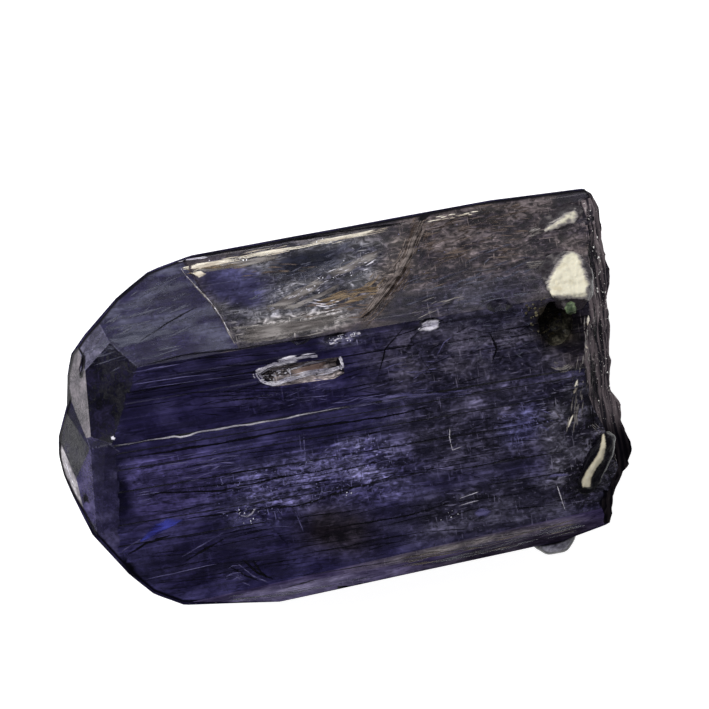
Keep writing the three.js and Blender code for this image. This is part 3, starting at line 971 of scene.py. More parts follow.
ZONES: tuple[Zone, ...] = (
    # The clear window of the back slope, and what is dull on either side of it.
    Zone((-1.0, 8.6), (7.4, 3.2), 0, tone(58, 57, 66), tone(86, 85, 90), 0.82, 1.4, A_FACE, 0.3),
    Zone((-5.6, 9.2), (2.7, 1.6), -28, tone(43, 41, 64), tone(56, 55, 81), 1.30, 0.4, A_FACE, 0.35),
    Zone((-0.8, 9.9), (3.2, 0.9), 2, tone(26, 27, 38), tone(42, 43, 54), 1.10, 0.2, A_FACE, 0.5),
    Zone((11.5, 8.8), (7.4, 3.8), 0, tone(48, 44, 49), tone(70, 64, 65), 0.95, 1.3, A_FACE, 0.3),
    Zone((9.6, 5.8), (7.0, 1.6), 0, tone(44, 42, 54), tone(60, 58, 68), 0.88, 0.9, A_FACE, 0.7),
    Zone((4.6, 8.4), (3.6, 1.1), 58, tone(84, 77, 76), tone(106, 98, 95), 0.92, 1.2, A_FACE, 0.7),
    Zone((-2.4, 5.9), (4.6, 0.9), 0, tone(80, 77, 78), tone(122, 118, 118), 0.95, 1.4, A_FACE, 0.4),
    # The flat face is greyer and hazier towards the break.
    Zone((10.6, 2.4), (10.0, 3.2), 0, tone(47, 45, 60), tone(66, 63, 76), 0.85, 1.0, B_FACE, 0.4),
    Zone((10.0, 4.6), (6.0, 1.6), 0, tone(46, 44, 58), tone(58, 56, 68), 0.85, 0.9, B_FACE, 0.8),
    Zone((0.9, 4.5), (1.9, 0.6), 0, tone(58, 56, 78), tone(96, 94, 116), 0.80, 1.0, B_FACE, 0.4),
    Zone((-3.4, 1.4), (4.0, 1.2), 0, tone(34, 31, 56), tone(50, 47, 74), 0.65, 0.9, B_FACE, 0.8),
    Zone((16.4, 1.2), (2.4, 4.4), 0, tone(34, 31, 38), tone(60, 56, 60), 0.90, 0.8, B_FACE, 0.5),
    # Painted shade of the hollow, near-black and fading onto the faces around it.
    Zone((14.6, 3.2), (2.1, 2.3), 0, tone(17, 15, 16), tone(34, 31, 26), 0.97, 0.8,
         B_FACE + A_FACE, 0.5),
    # The broad front face: a speckled veil across it, a brown spot and a dark lower right.
    Zone((-12.2, -3.2), (4.4, 3.0), 0, tone(61, 56, 93), tone(72, 67, 108), 0.92, 0.5, C_FACE, 0.5),
    Zone((-2.0, -4.5), (8.4, 2.6), 0, tone(60, 57, 88), tone(90, 87, 124), 0.86, 1.5, C_FACE, 0.5),
    Zone((0.9, -3.4), (2.6, 1.9), 0, tone(72, 69, 104), tone(112, 109, 146), 0.88, 1.5, C_FACE, 0.6),
    Zone((-7.2, -6.2), (2.8, 1.1), 0, tone(50, 47, 78), tone(84, 82, 116), 0.74, 1.0, C_FACE, 0.7),
    Zone((-15.3, -3.0), (0.9, 2.6), 6, tone(18, 16, 36), tone(24, 21, 42), 0.80, 0.0, C_FACE, 0.5),
    Zone((-9.6, -8.4), (7.0, 2.6), 0, tone(34, 31, 56), tone(44, 41, 68), 0.84, 0.3, C_FACE, 0.5),
    Zone((-1.6, -7.8), (3.8, 2.5), -20, tone(32, 28, 34), tone(44, 40, 48), 0.92, 0.6, C_FACE, 0.6),
    Zone((9.0, -2.5), (7.4, 4.2), 0, tone(50, 48, 64), tone(72, 69, 88), 0.86, 1.0, C_FACE, 0.5),
    Zone((11.6, -2.9), (2.6, 1.3), 30, tone(54, 52, 82), tone(84, 83, 120), 0.84, 1.0, C_FACE, 0.7),
    Zone((6.6, -7.9), (3.0, 1.0), 6, tone(34, 32, 46), tone(70, 70, 90), 0.80, 1.0, C_FACE, 0.6),
    Zone((9.0, -8.2), (8.5, 2.6), 0, tone(47, 45, 60), tone(70, 68, 84), 0.86, 0.9, C_FACE, 0.5),
    Zone((15.2, -4.6), (3.2, 5.0), 0, tone(36, 34, 44), tone(82, 80, 92), 0.95, 1.5, C_FACE, 0.35),
    # The front bevel: violet, paler along its lower edge as painted reflection of the floor, with a tan
    # streak high on it and a near-black lower right.
    Zone((-4.0, -11.3), (7.0, 0.6), 0, tone(112, 105, 138), tone(140, 133, 164), 1.60, 0.2,
         D_FACE, 0.7),
    Zone((9.6, -10.9), (9.0, 0.8), 5, tone(44, 39, 52), tone(66, 60, 74), 1.60, 0.2, D_FACE, 0.5),
    Zone((6.6, -10.15), (9.0, 0.42), 3, tone(104, 98, 104), tone(142, 135, 136), 1.60, 0.5,
         D_FACE, 0.8),
)


def convex_hull(spots: Sequence[Vector]) -> list[Vector]:
    """Find the outline in plan that holds all the given places."""
    flat = [spot.to_2d() for spot in spots]
    return [flat[index] for index in convex_hull_2d(flat)]


def hull_distance(hull: Sequence[Vector], spot: Vector) -> float:
    """Measure how far a place is inside an outline, in plan.

    Args:
        hull: The outline's corners.
        spot: The place.

    Returns:
        Distance to the nearest side.
    """
    flat = spot.to_2d()
    sides = zip(hull, list(hull[1:]) + [hull[0]])
    return min(abs((last - first).normalized().cross(flat - first)) for first, last in sides)


@dataclass
class CrystalBody:
    """The grown crystal with its fine skin, in place of the plain solid.

    Attributes:
        survey: What tells its kinds of surface apart.
        spacing: Longest edge left on the facets.
        fine_spacing: Longest edge left on the broken base and the bevel.
        bevel: Place across the crystal and height where the bevel's fine skin begins.
        flat: Angle under which two faces are one, in radians.
        crisp: Angle past which an edge stays crisp, in degrees.
        waviness: Height of the slow waves on the facets.
        wave_scale: Waves per millimetre on each axis.
        wave_seed: What picks the waves.
        hackle: Height of the rough break.
        hackle_scale: Its roughness per millimetre.
        ledge_scale: Its ledges per millimetre on each axis.
        ledge_share: Height of the ledges, as a share of the hackle.
        rest_height: Height up to which the resting face stays flat.
        outline_depth: How far inside the plan's hull an edge still belongs to the outline.
        outline_rise: Upward part of the normal that parts the top from the walls.
        outline_foot: Height that an edge of the outline lies above.
        mark_step: Distance between the marks that distances are measured from.
    """

    survey: Survey = Survey()
    spacing: float = 0.9
    fine_spacing: float = 0.34
    bevel: Place = (-9.6, 8.0)
    flat: float = 0.003
    crisp: float = 9.0
    waviness: float = 0.012
    wave_scale: Triple = (0.25, 0.9, 0.9)
    wave_seed: float = 17.0
    hackle: float = 0.11
    hackle_scale: float = 0.9
    ledge_scale: Triple = (2.6, 0.5, 0.9)
    ledge_share: float = 0.8
    rest_height: float = 0.05
    outline_depth: float = 1.0
    outline_rise: float = 0.12
    outline_foot: float = 2.0
    mark_step: float = 0.08

    def limit(self, spots: np.ndarray) -> np.ndarray:
        """Say how long an edge may stay at points of the crystal, one in each row."""
        on_bevel = (spots[:, 1] < self.bevel[0]) & (spots[:, 2] > self.bevel[1])
        return np.where((spots[:, 0] > self.survey.base) | on_bevel, self.fine_spacing, self.spacing)

    def roughen(self, shell: "Shell") -> None:
        """Give the skin its slow waves, and the break its hackle.

        Args:
            shell: The fine mesh, changed in place.
        """
        share = shell.vertex_share(Facet.BREAK)
        heights = np.zeros(len(shell.spots))
        (wave_x, wave_y, wave_z), (ledge_x, ledge_y, ledge_z) = self.wave_scale, self.ledge_scale
        for index, (x, y, z) in enumerate(shell.spots):
            if z < self.rest_height:
                continue
            wave = Vector((x * wave_x, y * wave_y, z * wave_z + self.wave_seed))
            height = self.waviness * noise.noise(wave)
            if share[index]:
                ledges = noise.noise(Vector((x * ledge_x, y * ledge_y, z * ledge_z)))
                rough = (rugged(Vector((x, y, z)) * self.hackle_scale, layers=4)
                         + ledges * self.ledge_share)
                height += share[index] * self.hackle * rough
            heights[index] = height
        shell.spots += shell.normals() * heights[:, None]

    def distances(self, spots: np.ndarray, lines: list[tuple[Vector, Vector]],
                  in_plan: bool) -> np.ndarray:
        """Measure how far points are from a set of lines.

        Args:
            spots: The points, in millimetres.
            lines: Two ends of each line, in millimetres.
            in_plan: Whether height is left out.

        Returns:
            Millimetres for each point.
        """
        flatten = Vector((1, 1, 0)) if in_plan else Vector((1, 1, 1))
        marks = []
        for first, last in lines:
            count = max(1, math.ceil((last - first).length / self.mark_step))
            marks += [first.lerp(last, index / count) * flatten for index in range(count + 1)]
        tree = KDTree(len(marks))
        for index, mark in enumerate(marks):
            tree.insert(mark, index)
        tree.balance()
        return np.array([tree.find(Vector(spot) * flatten)[2] for spot in spots])

    @staticmethod
    def dress(mesh: bpy.types.Mesh, kinds: np.ndarray, rim: np.ndarray, crease: np.ndarray) -> None:
        """Write the look of every face corner on the mesh.

        The attribute look holds a veil's colour and its share, other holds its second colour
        and its flecks, and wear_and_shade holds roughness, the distances for the painted rim shade
        and the crease's painted glint, and how striated it is.

        Args:
            mesh: The finished mesh.
            kinds: Kind of each face.
            rim: Distance of each vertex from the outline.
            crease: Distance of each vertex from a facet's edge.
        """
        corner_vertex = np.empty(len(mesh.loops), dtype=np.int32)
        mesh.loops.foreach_get("vertex_index", corner_vertex)
        places = np.empty(len(mesh.vertices) * 3)
        mesh.vertices.foreach_get("co", places)
        places = places.reshape(-1, 3)[corner_vertex] / MM
        corner_kind = np.repeat(kinds, 3)
        look, other, wear_and_shade = (np.zeros((len(corner_vertex), 4)) for _ in range(3))
        for kind, finish in LOOKS.items():
            chosen = corner_kind == kind
            look[chosen] = (*finish.tint, finish.frost)
            other[chosen] = (*finish.second, finish.speckle)
            wear_and_shade[chosen, 0] = finish.roughness
            wear_and_shade[chosen, 3] = finish.lined
        for zone in ZONES:
            weight = zone.weight(places[:, 0], places[:, 1]) * np.isin(corner_kind, zone.facets)
            look += (np.array((*zone.tint, zone.frost)) - look) * weight[:, None]
            other += (np.array((*zone.second, zone.speckle)) - other) * weight[:, None]
        rimless = np.isin(corner_kind, RIMLESS_KINDS)
        wear_and_shade[:, 1] = np.where(rimless, 1.0, np.minimum(rim[corner_vertex], 1.0))
        wear_and_shade[:, 2] = np.minimum(crease[corner_vertex], 1.0)
        for name, values in (("look", look), ("other", other), ("wear_and_shade", wear_and_shade)):
            layer = mesh.attributes.new(name, "FLOAT_COLOR", "CORNER")
            layer.data.foreach_set("color", values.ravel())

    def edges(self, solid: bmesh.types.BMesh, layer: bmesh.types.BMLayerItem) -> tuple[list, list]:
        """Find the edges that the painted dark outline shade and the rubbed creases with their painted
        glint run along.

        Args:
            solid: The plain crystal.
            layer: Kind of each face.

        Returns:
            The two ends of each edge of the outline, and of each crease.
        """
        outline, creases = [], []
        hull = convex_hull([vertex.co / MM for vertex in solid.verts])
        for edge in solid.edges:
            first, last = edge.link_faces
            ends = tuple(vertex.co / MM for vertex in edge.verts)
            if (first.normal.z > self.outline_rise) != (last.normal.z > self.outline_rise):
                depth = hull_distance(hull, ends[0].lerp(ends[1], 0.5))
                if ends[0].z > self.outline_foot and depth < self.outline_depth:
                    outline.append(ends)
            elif first[layer] != last[layer] and {first[layer], last[layer]} <= WORN_GLINT_KINDS:
                creases.append(ends)
        return outline, creases

    def build(self, material: bpy.types.Material, broken: bpy.types.Material,
              soft: bpy.types.Material) -> bpy.types.Object:
        """Build the piece.

        Args:
            material: The tanzanite finish.
            broken: The finish of the broken base.
            soft: The finish of the dull faces that lie edge-on to the light.

        Returns:
            The piece, which replaces the plain crystal.
        """
        solid = merged_copy("crystal")
        bmesh.ops.dissolve_limit(solid, angle_limit=self.flat, verts=solid.verts, edges=solid.edges)
        layer = solid.faces.layers.int.new("kind")
        for face in solid.faces:
            face[layer] = self.survey.kind(face)
        outline, creases = self.edges(solid, layer)
        bmesh.ops.triangulate(solid, faces=solid.faces)
        shell = Shell.of(solid, [face[layer] for face in solid.faces])
        shell.refine(self.limit)
        rim = self.distances(shell.spots, outline, True)
        crease = self.distances(shell.spots, creases, False)
        mesh = shell.mesh("crystal_body", self.crisp, self.roughen)
        self.dress(mesh, shell.kinds, rim, crease)
        piece = place_piece("crystal_body", mesh, material, "tanzanite", "crystal")
        mesh.materials.append(broken)
        mesh.materials.append(soft)
        slots = np.where(np.isin(shell.kinds, DULL_KINDS), 2, shell.kinds == Facet.BREAK)
        mesh.polygons.foreach_set("material_index", slots.astype(np.int32))
        return piece


# --------------------------------------------------------------------------- calcite


TOP_PLANES: tuple[Triple, ...] = (      # height at a place across, slope, and that place
    (15.4, -0.6486, 4.9), (15.4, 0.0879, 4.9), (14.84, 0.3518, 0.0))


def facet_height(y: float) -> float:
    """Work out how high the unbroken top of the crystal stands at a place across it."""
    return min(height + slope * (y - start) for height, slope, start in TOP_PLANES)


def inside_distance(outline: Sequence[Place], spots: np.ndarray) -> np.ndarray:
    """Measure how far places are inside an outline in plan, negative outside it.

    Args:
        outline: The outline's corners.
        spots: The places, one in each row.

    Returns:
        The distance of each.
    """
    corners = np.array(outline)
    nearest, crossings = np.full(len(spots), np.inf), np.zeros(len(spots), dtype=int)
    x, y = spots[:, 0], spots[:, 1]
    for first, last in zip(corners, np.roll(corners, -1, axis=0)):
        side = last - first
        share = np.clip(((x - first[0]) * side[0] + (y - first[1]) * side[1]) / (side @ side), 0, 1)
        away = np.hypot(x - first[0] - share * side[0], y - first[1] - share * side[1])
        nearest = np.minimum(nearest, away)
        if side[1]:
            beyond = (first[1] > y) != (last[1] > y)
            crossings += beyond & (x < first[0] + (y - first[1]) / side[1] * side[0])
    return np.where(crossings % 2 == 1, nearest, -nearest)


@dataclass
class CalciteCrust:
    """One remnant of calcite in the dark matrix that fills its pocket.

    Attributes:
        node: The plain node that it replaces.
        name: Name of the piece.
        outline: Where the chalk ends, in plan.
        stands: How far the chalk stands over the facets.
        swell: How far the plain node is grown.
        seat: How far the matrix stands over them.
        border: Width of the chalk's sloping edge.
        least: Usual height of the chalk's knolls, as a share of how far it stands.
        knoll_scale: Knolls per millimetre.
        grain: Height of the grains.
        grain_scale: Grains per millimetre.
        voxel: Size of the cells that it is fused in.
        smoothing: How often it is smoothed.
    """

    node: str
    name: str
    outline: tuple[Place, ...]
    stands: float = 0.22
    swell: float = 0.34
    seat: float = 0.02
    border: float = 0.35
    least: float = 0.8
    knoll_scale: float = 0.9
    grain: float = 0.06
    grain_scale: float = 2.2
    voxel: float = 0.08
    smoothing: int = 3

    def fused(self) -> bpy.types.Mesh:
        """Grow the plain node and remake it as one even closed mesh.

        Returns:
            The mesh, in metres.
        """
        solid = merged_copy(self.node)
        for vertex in solid.verts:
            vertex.co += vertex.normal * self.swell * MM
        rough = bpy.data.meshes.new(self.name)
        solid.to_mesh(rough)
        solid.free()
        holder = bpy.data.objects.new(self.name + "_grown", rough)
        bpy.context.scene.collection.objects.link(holder)
        remesh = holder.modifiers.new("fuse", "REMESH")
        remesh.mode = "VOXEL"
        remesh.voxel_size = self.voxel * MM
        fused = bpy.data.meshes.new_from_object(
            holder.evaluated_get(bpy.context.evaluated_depsgraph_get()))
        bpy.data.objects.remove(holder)
        bpy.data.meshes.remove(rough)
        return fused

    def build(self, material: bpy.types.Material, skin: "Ground") -> bpy.types.Object:
        """Build the piece.

        Args:
            material: The calcite finish.
            skin: The crystal's skin, which the matrix barely stands over.

        Returns:
            The piece, which replaces its plain node.
        """
        mesh = self.fused()
        solid = bmesh.new()
        solid.from_mesh(mesh)
        bmesh.ops.triangulate(solid, faces=solid.faces)
        spots = np.array([vertex.co[:] for vertex in solid.verts]) / MM
        inside = inside_distance(self.outline, spots)
        for vertex, depth in zip(solid.verts, inside):
            x, y, _ = vertex.co / MM
            rise = min(max(depth / self.border + 0.5, 0.0), 1.0)
            knolls = self.least + rugged(Vector((x, y, 0)) * self.knoll_scale, layers=3)
            relief = self.seat + self.stands * rise * knolls
            vertex.co.z = min(vertex.co.z, (max(facet_height(y), skin.height(x, y)) + relief) * MM)
        for _ in range(self.smoothing):
            bmesh.ops.smooth_vert(solid, verts=solid.verts, factor=0.5,
                                  use_axis_x=True, use_axis_y=True, use_axis_z=True)
        solid.normal_update()
        moves = [vertex.normal * rugged(vertex.co / MM * self.grain_scale, layers=4)
                 * self.grain * MM for vertex in solid.verts]
        for vertex, move in zip(solid.verts, moves):
            vertex.co += move
        for face in solid.faces:
            face.smooth = True
        solid.to_mesh(mesh)
        solid.free()
        layer = mesh.attributes.new("inside", "FLOAT", "POINT")
        layer.data.foreach_set("value", inside)
        return place_piece(self.name, mesh, material, "calcite", self.node)


CRUSTS: tuple[CalciteCrust, ...] = (
    CalciteCrust("calcite_patch", "calcite_crust", (
        (16.01, 7.68), (16.48, 7.89), (17.08, 7.57), (17.14, 6.62), (17.3, 5.43), (17.05, 4.38),
        (15.93, 4.64), (15.38, 4.8), (14.37, 4.83), (14.5, 6.04), (15.13, 6.81)
    )),
    CalciteCrust("calcite_fleck", "calcite_chip", (
        (14.5, 9.22), (15.3, 9.64), (16.0, 9.9), (16.5, 10.3), (17.24, 10.38), (17.34, 9.85),
        (17.0, 9.5), (16.7, 9.62), (16.3, 9.45), (15.4, 9.26)
    )),
    CalciteCrust("calcite_sliver", "calcite_splinter", (
        (14.7, -7.75), (14.72, -7.3), (15.0, -6.85), (15.45, -6.35), (15.95, -5.85), (16.3, -5.3),
        (16.52, -4.6), (16.62, -4.2), (16.68, -4.7), (16.6, -5.4), (16.3, -6.1), (15.75, -6.65),
        (15.35, -7.2), (15.2, -7.75)
    ), stands=0.14),
)


# ------------------------------------------------------------------- films and seams


class Ground:
    """The skin of a piece, for laying things on it from above."""

    def __init__(self, *meshes: bpy.types.Mesh) -> None:
        """Read the skin.

        Args:
            meshes: The meshes, which all lie in place.
        """
        solid = bmesh.new()
        for mesh in meshes:
            solid.from_mesh(mesh)
        self.tree = BVHTree.FromBMesh(solid)
        solid.free()

    def height(self, x: float, y: float) -> float:
        """Find the top of the skin in millimetres, or 0 beside it."""
        hit = self.tree.ray_cast(Vector((x * MM, y * MM, 1.0)), Vector((0, 0, -1)))[0]
        return hit.z / MM if hit else 0.0

    def laid(self, flat: Sequence[Place], lift: float) -> np.ndarray:
        """Lift places in plan to the skin, and past it by the lift; one in each row."""
        return np.array([(x, y, self.height(x, y) + lift) for x, y in flat])

    @staticmethod
    def drops(spots: np.ndarray, faces: np.ndarray, lowest: float = 9.0, slope: float = 1.9,
              play: float = 0.25) -> np.ndarray:
        """Find the faces of a laid sheet that hang over an edge.

        Args:
            spots: Places in millimetres.
            faces: Vertices of each face.
            lowest: Height that the top's border never goes below.
            slope: Steepest rise for its run that a facet has.
            play: Height that a small step may add.

        Returns:
            Whether each face hangs.
        """
        corners = spots[faces]
        along = corners - np.roll(corners, 1, axis=1)
        run = np.hypot(along[..., 0], along[..., 1])
        hangs = (np.abs(along[..., 2]) > slope * run + play).any(axis=1)
        return hangs | (corners[..., 2] < lowest).any(axis=1)


def stepped(path: Sequence[Vector], step: float) -> list[Vector]:
    """Mark a path in plan at even steps, up to its last point.

    Args:
        path: Its points.
        step: Longest distance between two marks.

    Returns:
        The marks, without the last point.
    """
    marks = []
    for first, last in zip(path, path[1:]):
        count = max(1, math.ceil((last - first).length / step))
        marks += [first.lerp(last, index / count) for index in range(count)]
    return marks


def ripple(spot: Vector, scale: float, seed: float) -> float:
    """Give smooth noise at a place in plan, between -1 and 1."""
    return noise.noise(Vector((spot.x * scale, spot.y * scale, seed)))


def quads(rows: int, width: int, closed: bool, start: int = 0) -> list[tuple[int, ...]]:
    """Join rows of vertices with four-sided faces.

    Args:
        rows: How many rows there are.
        width: Vertices in each.
        closed: Whether the end of a row meets its start.
        start: Number of the first vertex.

    Returns:
        The corners of each face.
    """
    faces = []
    for first in range(start, start + (rows - 1) * width, width):
        for index in range(width if closed else width - 1):
            a, b = first + index, first + (index + 1) % width
            faces.append((a, b, b + width, a + width))
    return faces


@dataclass(frozen=True)
class Patch:
    """An irregular sheet, by its outline in plan.

    Attributes:
        outline: Its corners.
        rings: Each ring's share of the way to the middle, and how solid it is there.
        step: Longest step along its rim.
        ragged: How far its rim wavers, as a share of its size.
        waver: Waves in the rim for each millimetre, and their seed.
    """

    outline: tuple[Place, ...]
    rings: ClassVar[tuple[Place, ...]] = (
        (0.0, 0.0), (0.12, 0.2), (0.25, 0.45), (0.4, 0.7), (0.6, 0.9), (0.8, 1.0), (0.99, 1.0))
    step: ClassVar[float] = 0.3
    ragged: ClassVar[float] = 0.18
    waver: ClassVar[Place] = (1.9, 4.0)

    def rows(self) -> list[list[Place]]:
        """Give rings from the outline inwards to the middle.

        Returns:
            The places of each ring.
        """
        middle = Vector((0.0, 0.0))
        for place in self.outline:
            middle += Vector(place) / len(self.outline)
        rim = stepped([Vector(place) for place in self.outline + self.outline[:1]], self.step)
        rim = [spot + (spot - middle) * self.ragged * ripple(spot, *self.waver) for spot in rim]
        return [[tuple(spot.lerp(middle, share)) for spot in rim] for share, _ in self.rings]


@dataclass(frozen=True)
class Seam:
    """A line that tapers at both ends.

    Attributes:
        path: Its middle line in plan.
        width: How wide it is about its middle.
        blunt: How bluntly it tapers, from 0 for not at all.
        step: Longest step along it.
        tip: Share of its length from either end where the taper stops.
        half: Half its usual width, as a share of its width.
        swelling: Usual width and most change of it, as shares, and waves for each millimetre.
        sway: How far it leaves its path, as a share of its width, waves and seed.
    """

    path: tuple[Place, ...]
    width: float
    blunt: float = 0.5
    step: float = 0.22
    tip: ClassVar[float] = 0.02
    half: ClassVar[float] = 0.75
    swelling: ClassVar[Triple] = (0.75, 0.5, 1.3)
    sway: ClassVar[Triple] = (0.35, 0.9, 9.0)

    def rows(self) -> list[list[Place]]:
        """Give one side of the line, its middle and its other side.

        Returns:
            The places of each of the three.
        """
        points = [Vector(place) for place in self.path]
        spots = stepped(points, self.step) + points[-1:]
        left, middle, right = [], [], []
        usual, change, swells = self.swelling
        sway, bends, seed = self.sway
        for index, spot in enumerate(spots):
            before, after = spots[max(index - 1, 0)], spots[min(index + 1, len(spots) - 1)]
            side = (after - before).orthogonal().normalized()
            share = index / (len(spots) - 1)
            taper = math.sin(math.pi * min(max(share, self.tip), 1 - self.tip)) ** self.blunt
            uneven = usual + change * ripple(spot, swells, self.width * 50)
            centre = spot + side * ripple(spot, bends, seed) * self.width * sway
            half = self.width * self.half * taper * uneven
            left.append(tuple(centre + side * half))
            middle.append(tuple(centre))
            right.append(tuple(centre - side * half))
        return [left, middle, right]


@dataclass(frozen=True)
class Bundle:
    """Many fine strands that run side by side along a path.

    Attributes:
        path: Its middle line in plan.
        width: How far the strands spread.
        strands: How many are drawn.
        thin: Least and most width of a strand.
        length: Least and most share of the path that a strand covers.
        seed: What the random draw starts from.
        spread: Usual distance of a strand from the middle, as a share of the width.
        drift: Most that a strand moves across on its way, as a share of the width.
        shortest: Length under which a strand is left out.
        bend: Distance either way over which the path's direction is taken.
        parts: Straight parts of a strand, of which one may reach past the path's start.
    """

    path: tuple[Place, ...]
    width: float
    strands: int
    thin: Place
    length: Place
    seed: int
    spread: ClassVar[float] = 0.3
    drift: ClassVar[float] = 0.12
    shortest: ClassVar[float] = 0.1
    bend: ClassVar[float] = 0.05
    parts: ClassVar[int] = 3

    def seams(self) -> list[Seam]:
        """Draw the strands.

        Returns:
            A line for each strand.
        """
        draw = random.Random(self.seed)
        places = np.array(self.path)
        reached = np.concatenate(([0.0], np.cumsum(np.hypot(*np.diff(places, axis=0).T))))

        def spot(distance: float) -> Vector:
            """Find the place at a distance along the path."""
            return Vector([float(np.interp(distance, reached, axis)) for axis in places.T])

        drawn = []
        for _ in range(self.strands):
            reach = draw.uniform(*self.length)
            start = draw.uniform(-reach / self.parts, 1.0 - reach * (self.parts - 1) / self.parts)
            offset = draw.gauss(0.0, self.spread) * self.width
            drift, points = draw.uniform(-self.drift, self.drift) * self.width, []
            for step in range(self.parts + 1):
                share = min(max(start + reach * step / self.parts, 0.0), 1.0) * reached[-1]
                side = (spot(share + self.bend) - spot(share - self.bend)).orthogonal().normalized()
                points.append(spot(share) + side * (offset + drift * step / self.parts))
            if (points[-1] - points[0]).length > self.shortest:
                path = tuple(tuple(point) for point in points)
                drawn.append(Seam(path, draw.uniform(*self.thin), blunt=0.9, step=0.35))
        return drawn


@dataclass
class FilmSet:
    """All the sheets and lines of one finish, laid in or on the skin as one piece.

    Attributes:
        name: Name of the piece.
        finish: Their finish.
        shapes: The patches and seams.
        lift: How far their top lies above the skin; below 0 they lie in the crystal.
        thickness: How thick they are.
        ends: How soon a line fades out at its ends, from 0 for at once.
    """

    name: str
    finish: VeilFinish
    shapes: tuple[Patch | Seam | Bundle, ...]
    lift: float = 0.01
    thickness: float = 0.008
    ends: ClassVar[float] = 0.25

    def sheet(self, shape: Patch | Seam, ground: Ground) -> tuple[np.ndarray, np.ndarray, np.ndarray]:
        """Lay one shape on the skin as a thin closed sheet.

        Args:
            shape: The patch or seam.
            ground: The crystal's skin.

        Returns:
            Its vertices, its faces, and how solid it is at each vertex, 0 at its border.
        """
        rows = shape.rows()
        width, closed = len(rows[0]), isinstance(shape, Patch)
        fades = [fade for _, fade in Patch.rings] if closed else (0.0, 1.0, 0.0)
        top = ground.laid([place for row in rows for place in row], self.lift)
        fade = np.repeat(fades, width)
        if not closed:
            fade = fade * np.tile(np.sin(np.linspace(0.0, math.pi, width)) ** self.ends, len(rows))
        faces = [face for a, b, c, d in quads(len(rows), width, closed)
                 for face in ((a, b, c), (a, c, d))]
        if closed:
            last = (len(rows) - 1) * width
            faces += [(last, last + index, last + index + 1) for index in range(1, width - 1)]
        faces = np.array(faces)
        a, b, c = (top[faces[:, k], :2] for k in range(3))
        if np.cross(b - a, c - a).sum() < 0:
            faces = faces[:, ::-1]
        known = {tuple(pair) for pair in faces[:, SIDES].reshape(-1, 2).tolist()}
        count = len(top)
        walls = [face for a, b in known if (b, a) not in known
                 for face in ((a, a + count, b + count), (a, b + count, b))]
        below = top - np.array((0.0, 0.0, self.thickness))
        closed_faces = np.vstack((faces, faces[:, ::-1] + count, np.array(sorted(walls))))
        return np.vstack((top, below)), closed_faces, np.tile(fade, 2)

    def build(self, ground: Ground) -> bpy.types.Object:
        """Build the piece.

        Args:
            ground: The crystal's skin.

        Returns:
            The piece.
        """
        spots, faces, fades, count = [], [], [], 0
        drawn = [shape.seams() if isinstance(shape, Bundle) else [shape] for shape in self.shapes]
        for shape in sum(drawn, []):
            places, corners, fade = self.sheet(shape, ground)
            half = len(places) // 2
            if Ground.drops(places, corners[(corners < half).all(axis=1)]).any():
                log.info("%s: left out %s", self.name, shape.rows()[0][0])
                continue
            spots.append(places)
            faces.append(corners + count)
            fades.append(fade)
            count += len(places)
        whole = Shell(np.vstack(spots), np.vstack(faces), np.zeros(0))
        mesh = whole.mesh(self.name, SMOOTH, lambda shell: None)
        layer = mesh.attributes.new("fade", "FLOAT", "POINT")
        layer.data.foreach_set("value", np.concatenate(fades))
        return place_piece(self.name, mesh, self.finish.build(), "tanzanite")


PALE = VeilFinish("pale_film", tone(160, 156, 172), tone(226, 222, 232), 0.95, 0.2)
LILAC = VeilFinish("lilac_film", tone(72, 69, 106), tone(108, 104, 146), 0.75, 0.25)
SLATE = VeilFinish("slate_film", tone(66, 67, 84), tone(92, 93, 108), 0.6, 0.25)
CREAM = VeilFinish("cream_film", tone(186, 174, 158), tone(240, 232, 216), 0.95, 0.25)
GREY = VeilFinish("grey_film", tone(92, 87, 86), tone(134, 129, 127), 0.9, 0.3)
OCHRE = VeilFinish("ochre_film", tone(98, 82, 64), tone(134, 116, 94), 0.85, 0.3)
BROWN = VeilFinish("brown_film", tone(62, 52, 47), tone(104, 91, 84), 0.8, 0.35)
DARK = VeilFinish("dark_film", tone(8, 7, 12), tone(16, 14, 22), 1.0, 0.6)
BLUE_REFLECTION = VeilFinish("painted_blue_reflection", tone(44, 42, 96), tone(72, 76, 170), 0.8, 0.15)
TAN = VeilFinish("tan_film", tone(84, 76, 74), tone(122, 112, 108), 0.95, 0.3)
PIT_GREY = VeilFinish("pit_grey_film", tone(118, 99, 93), tone(170, 150, 142), 1.0, 0.2)

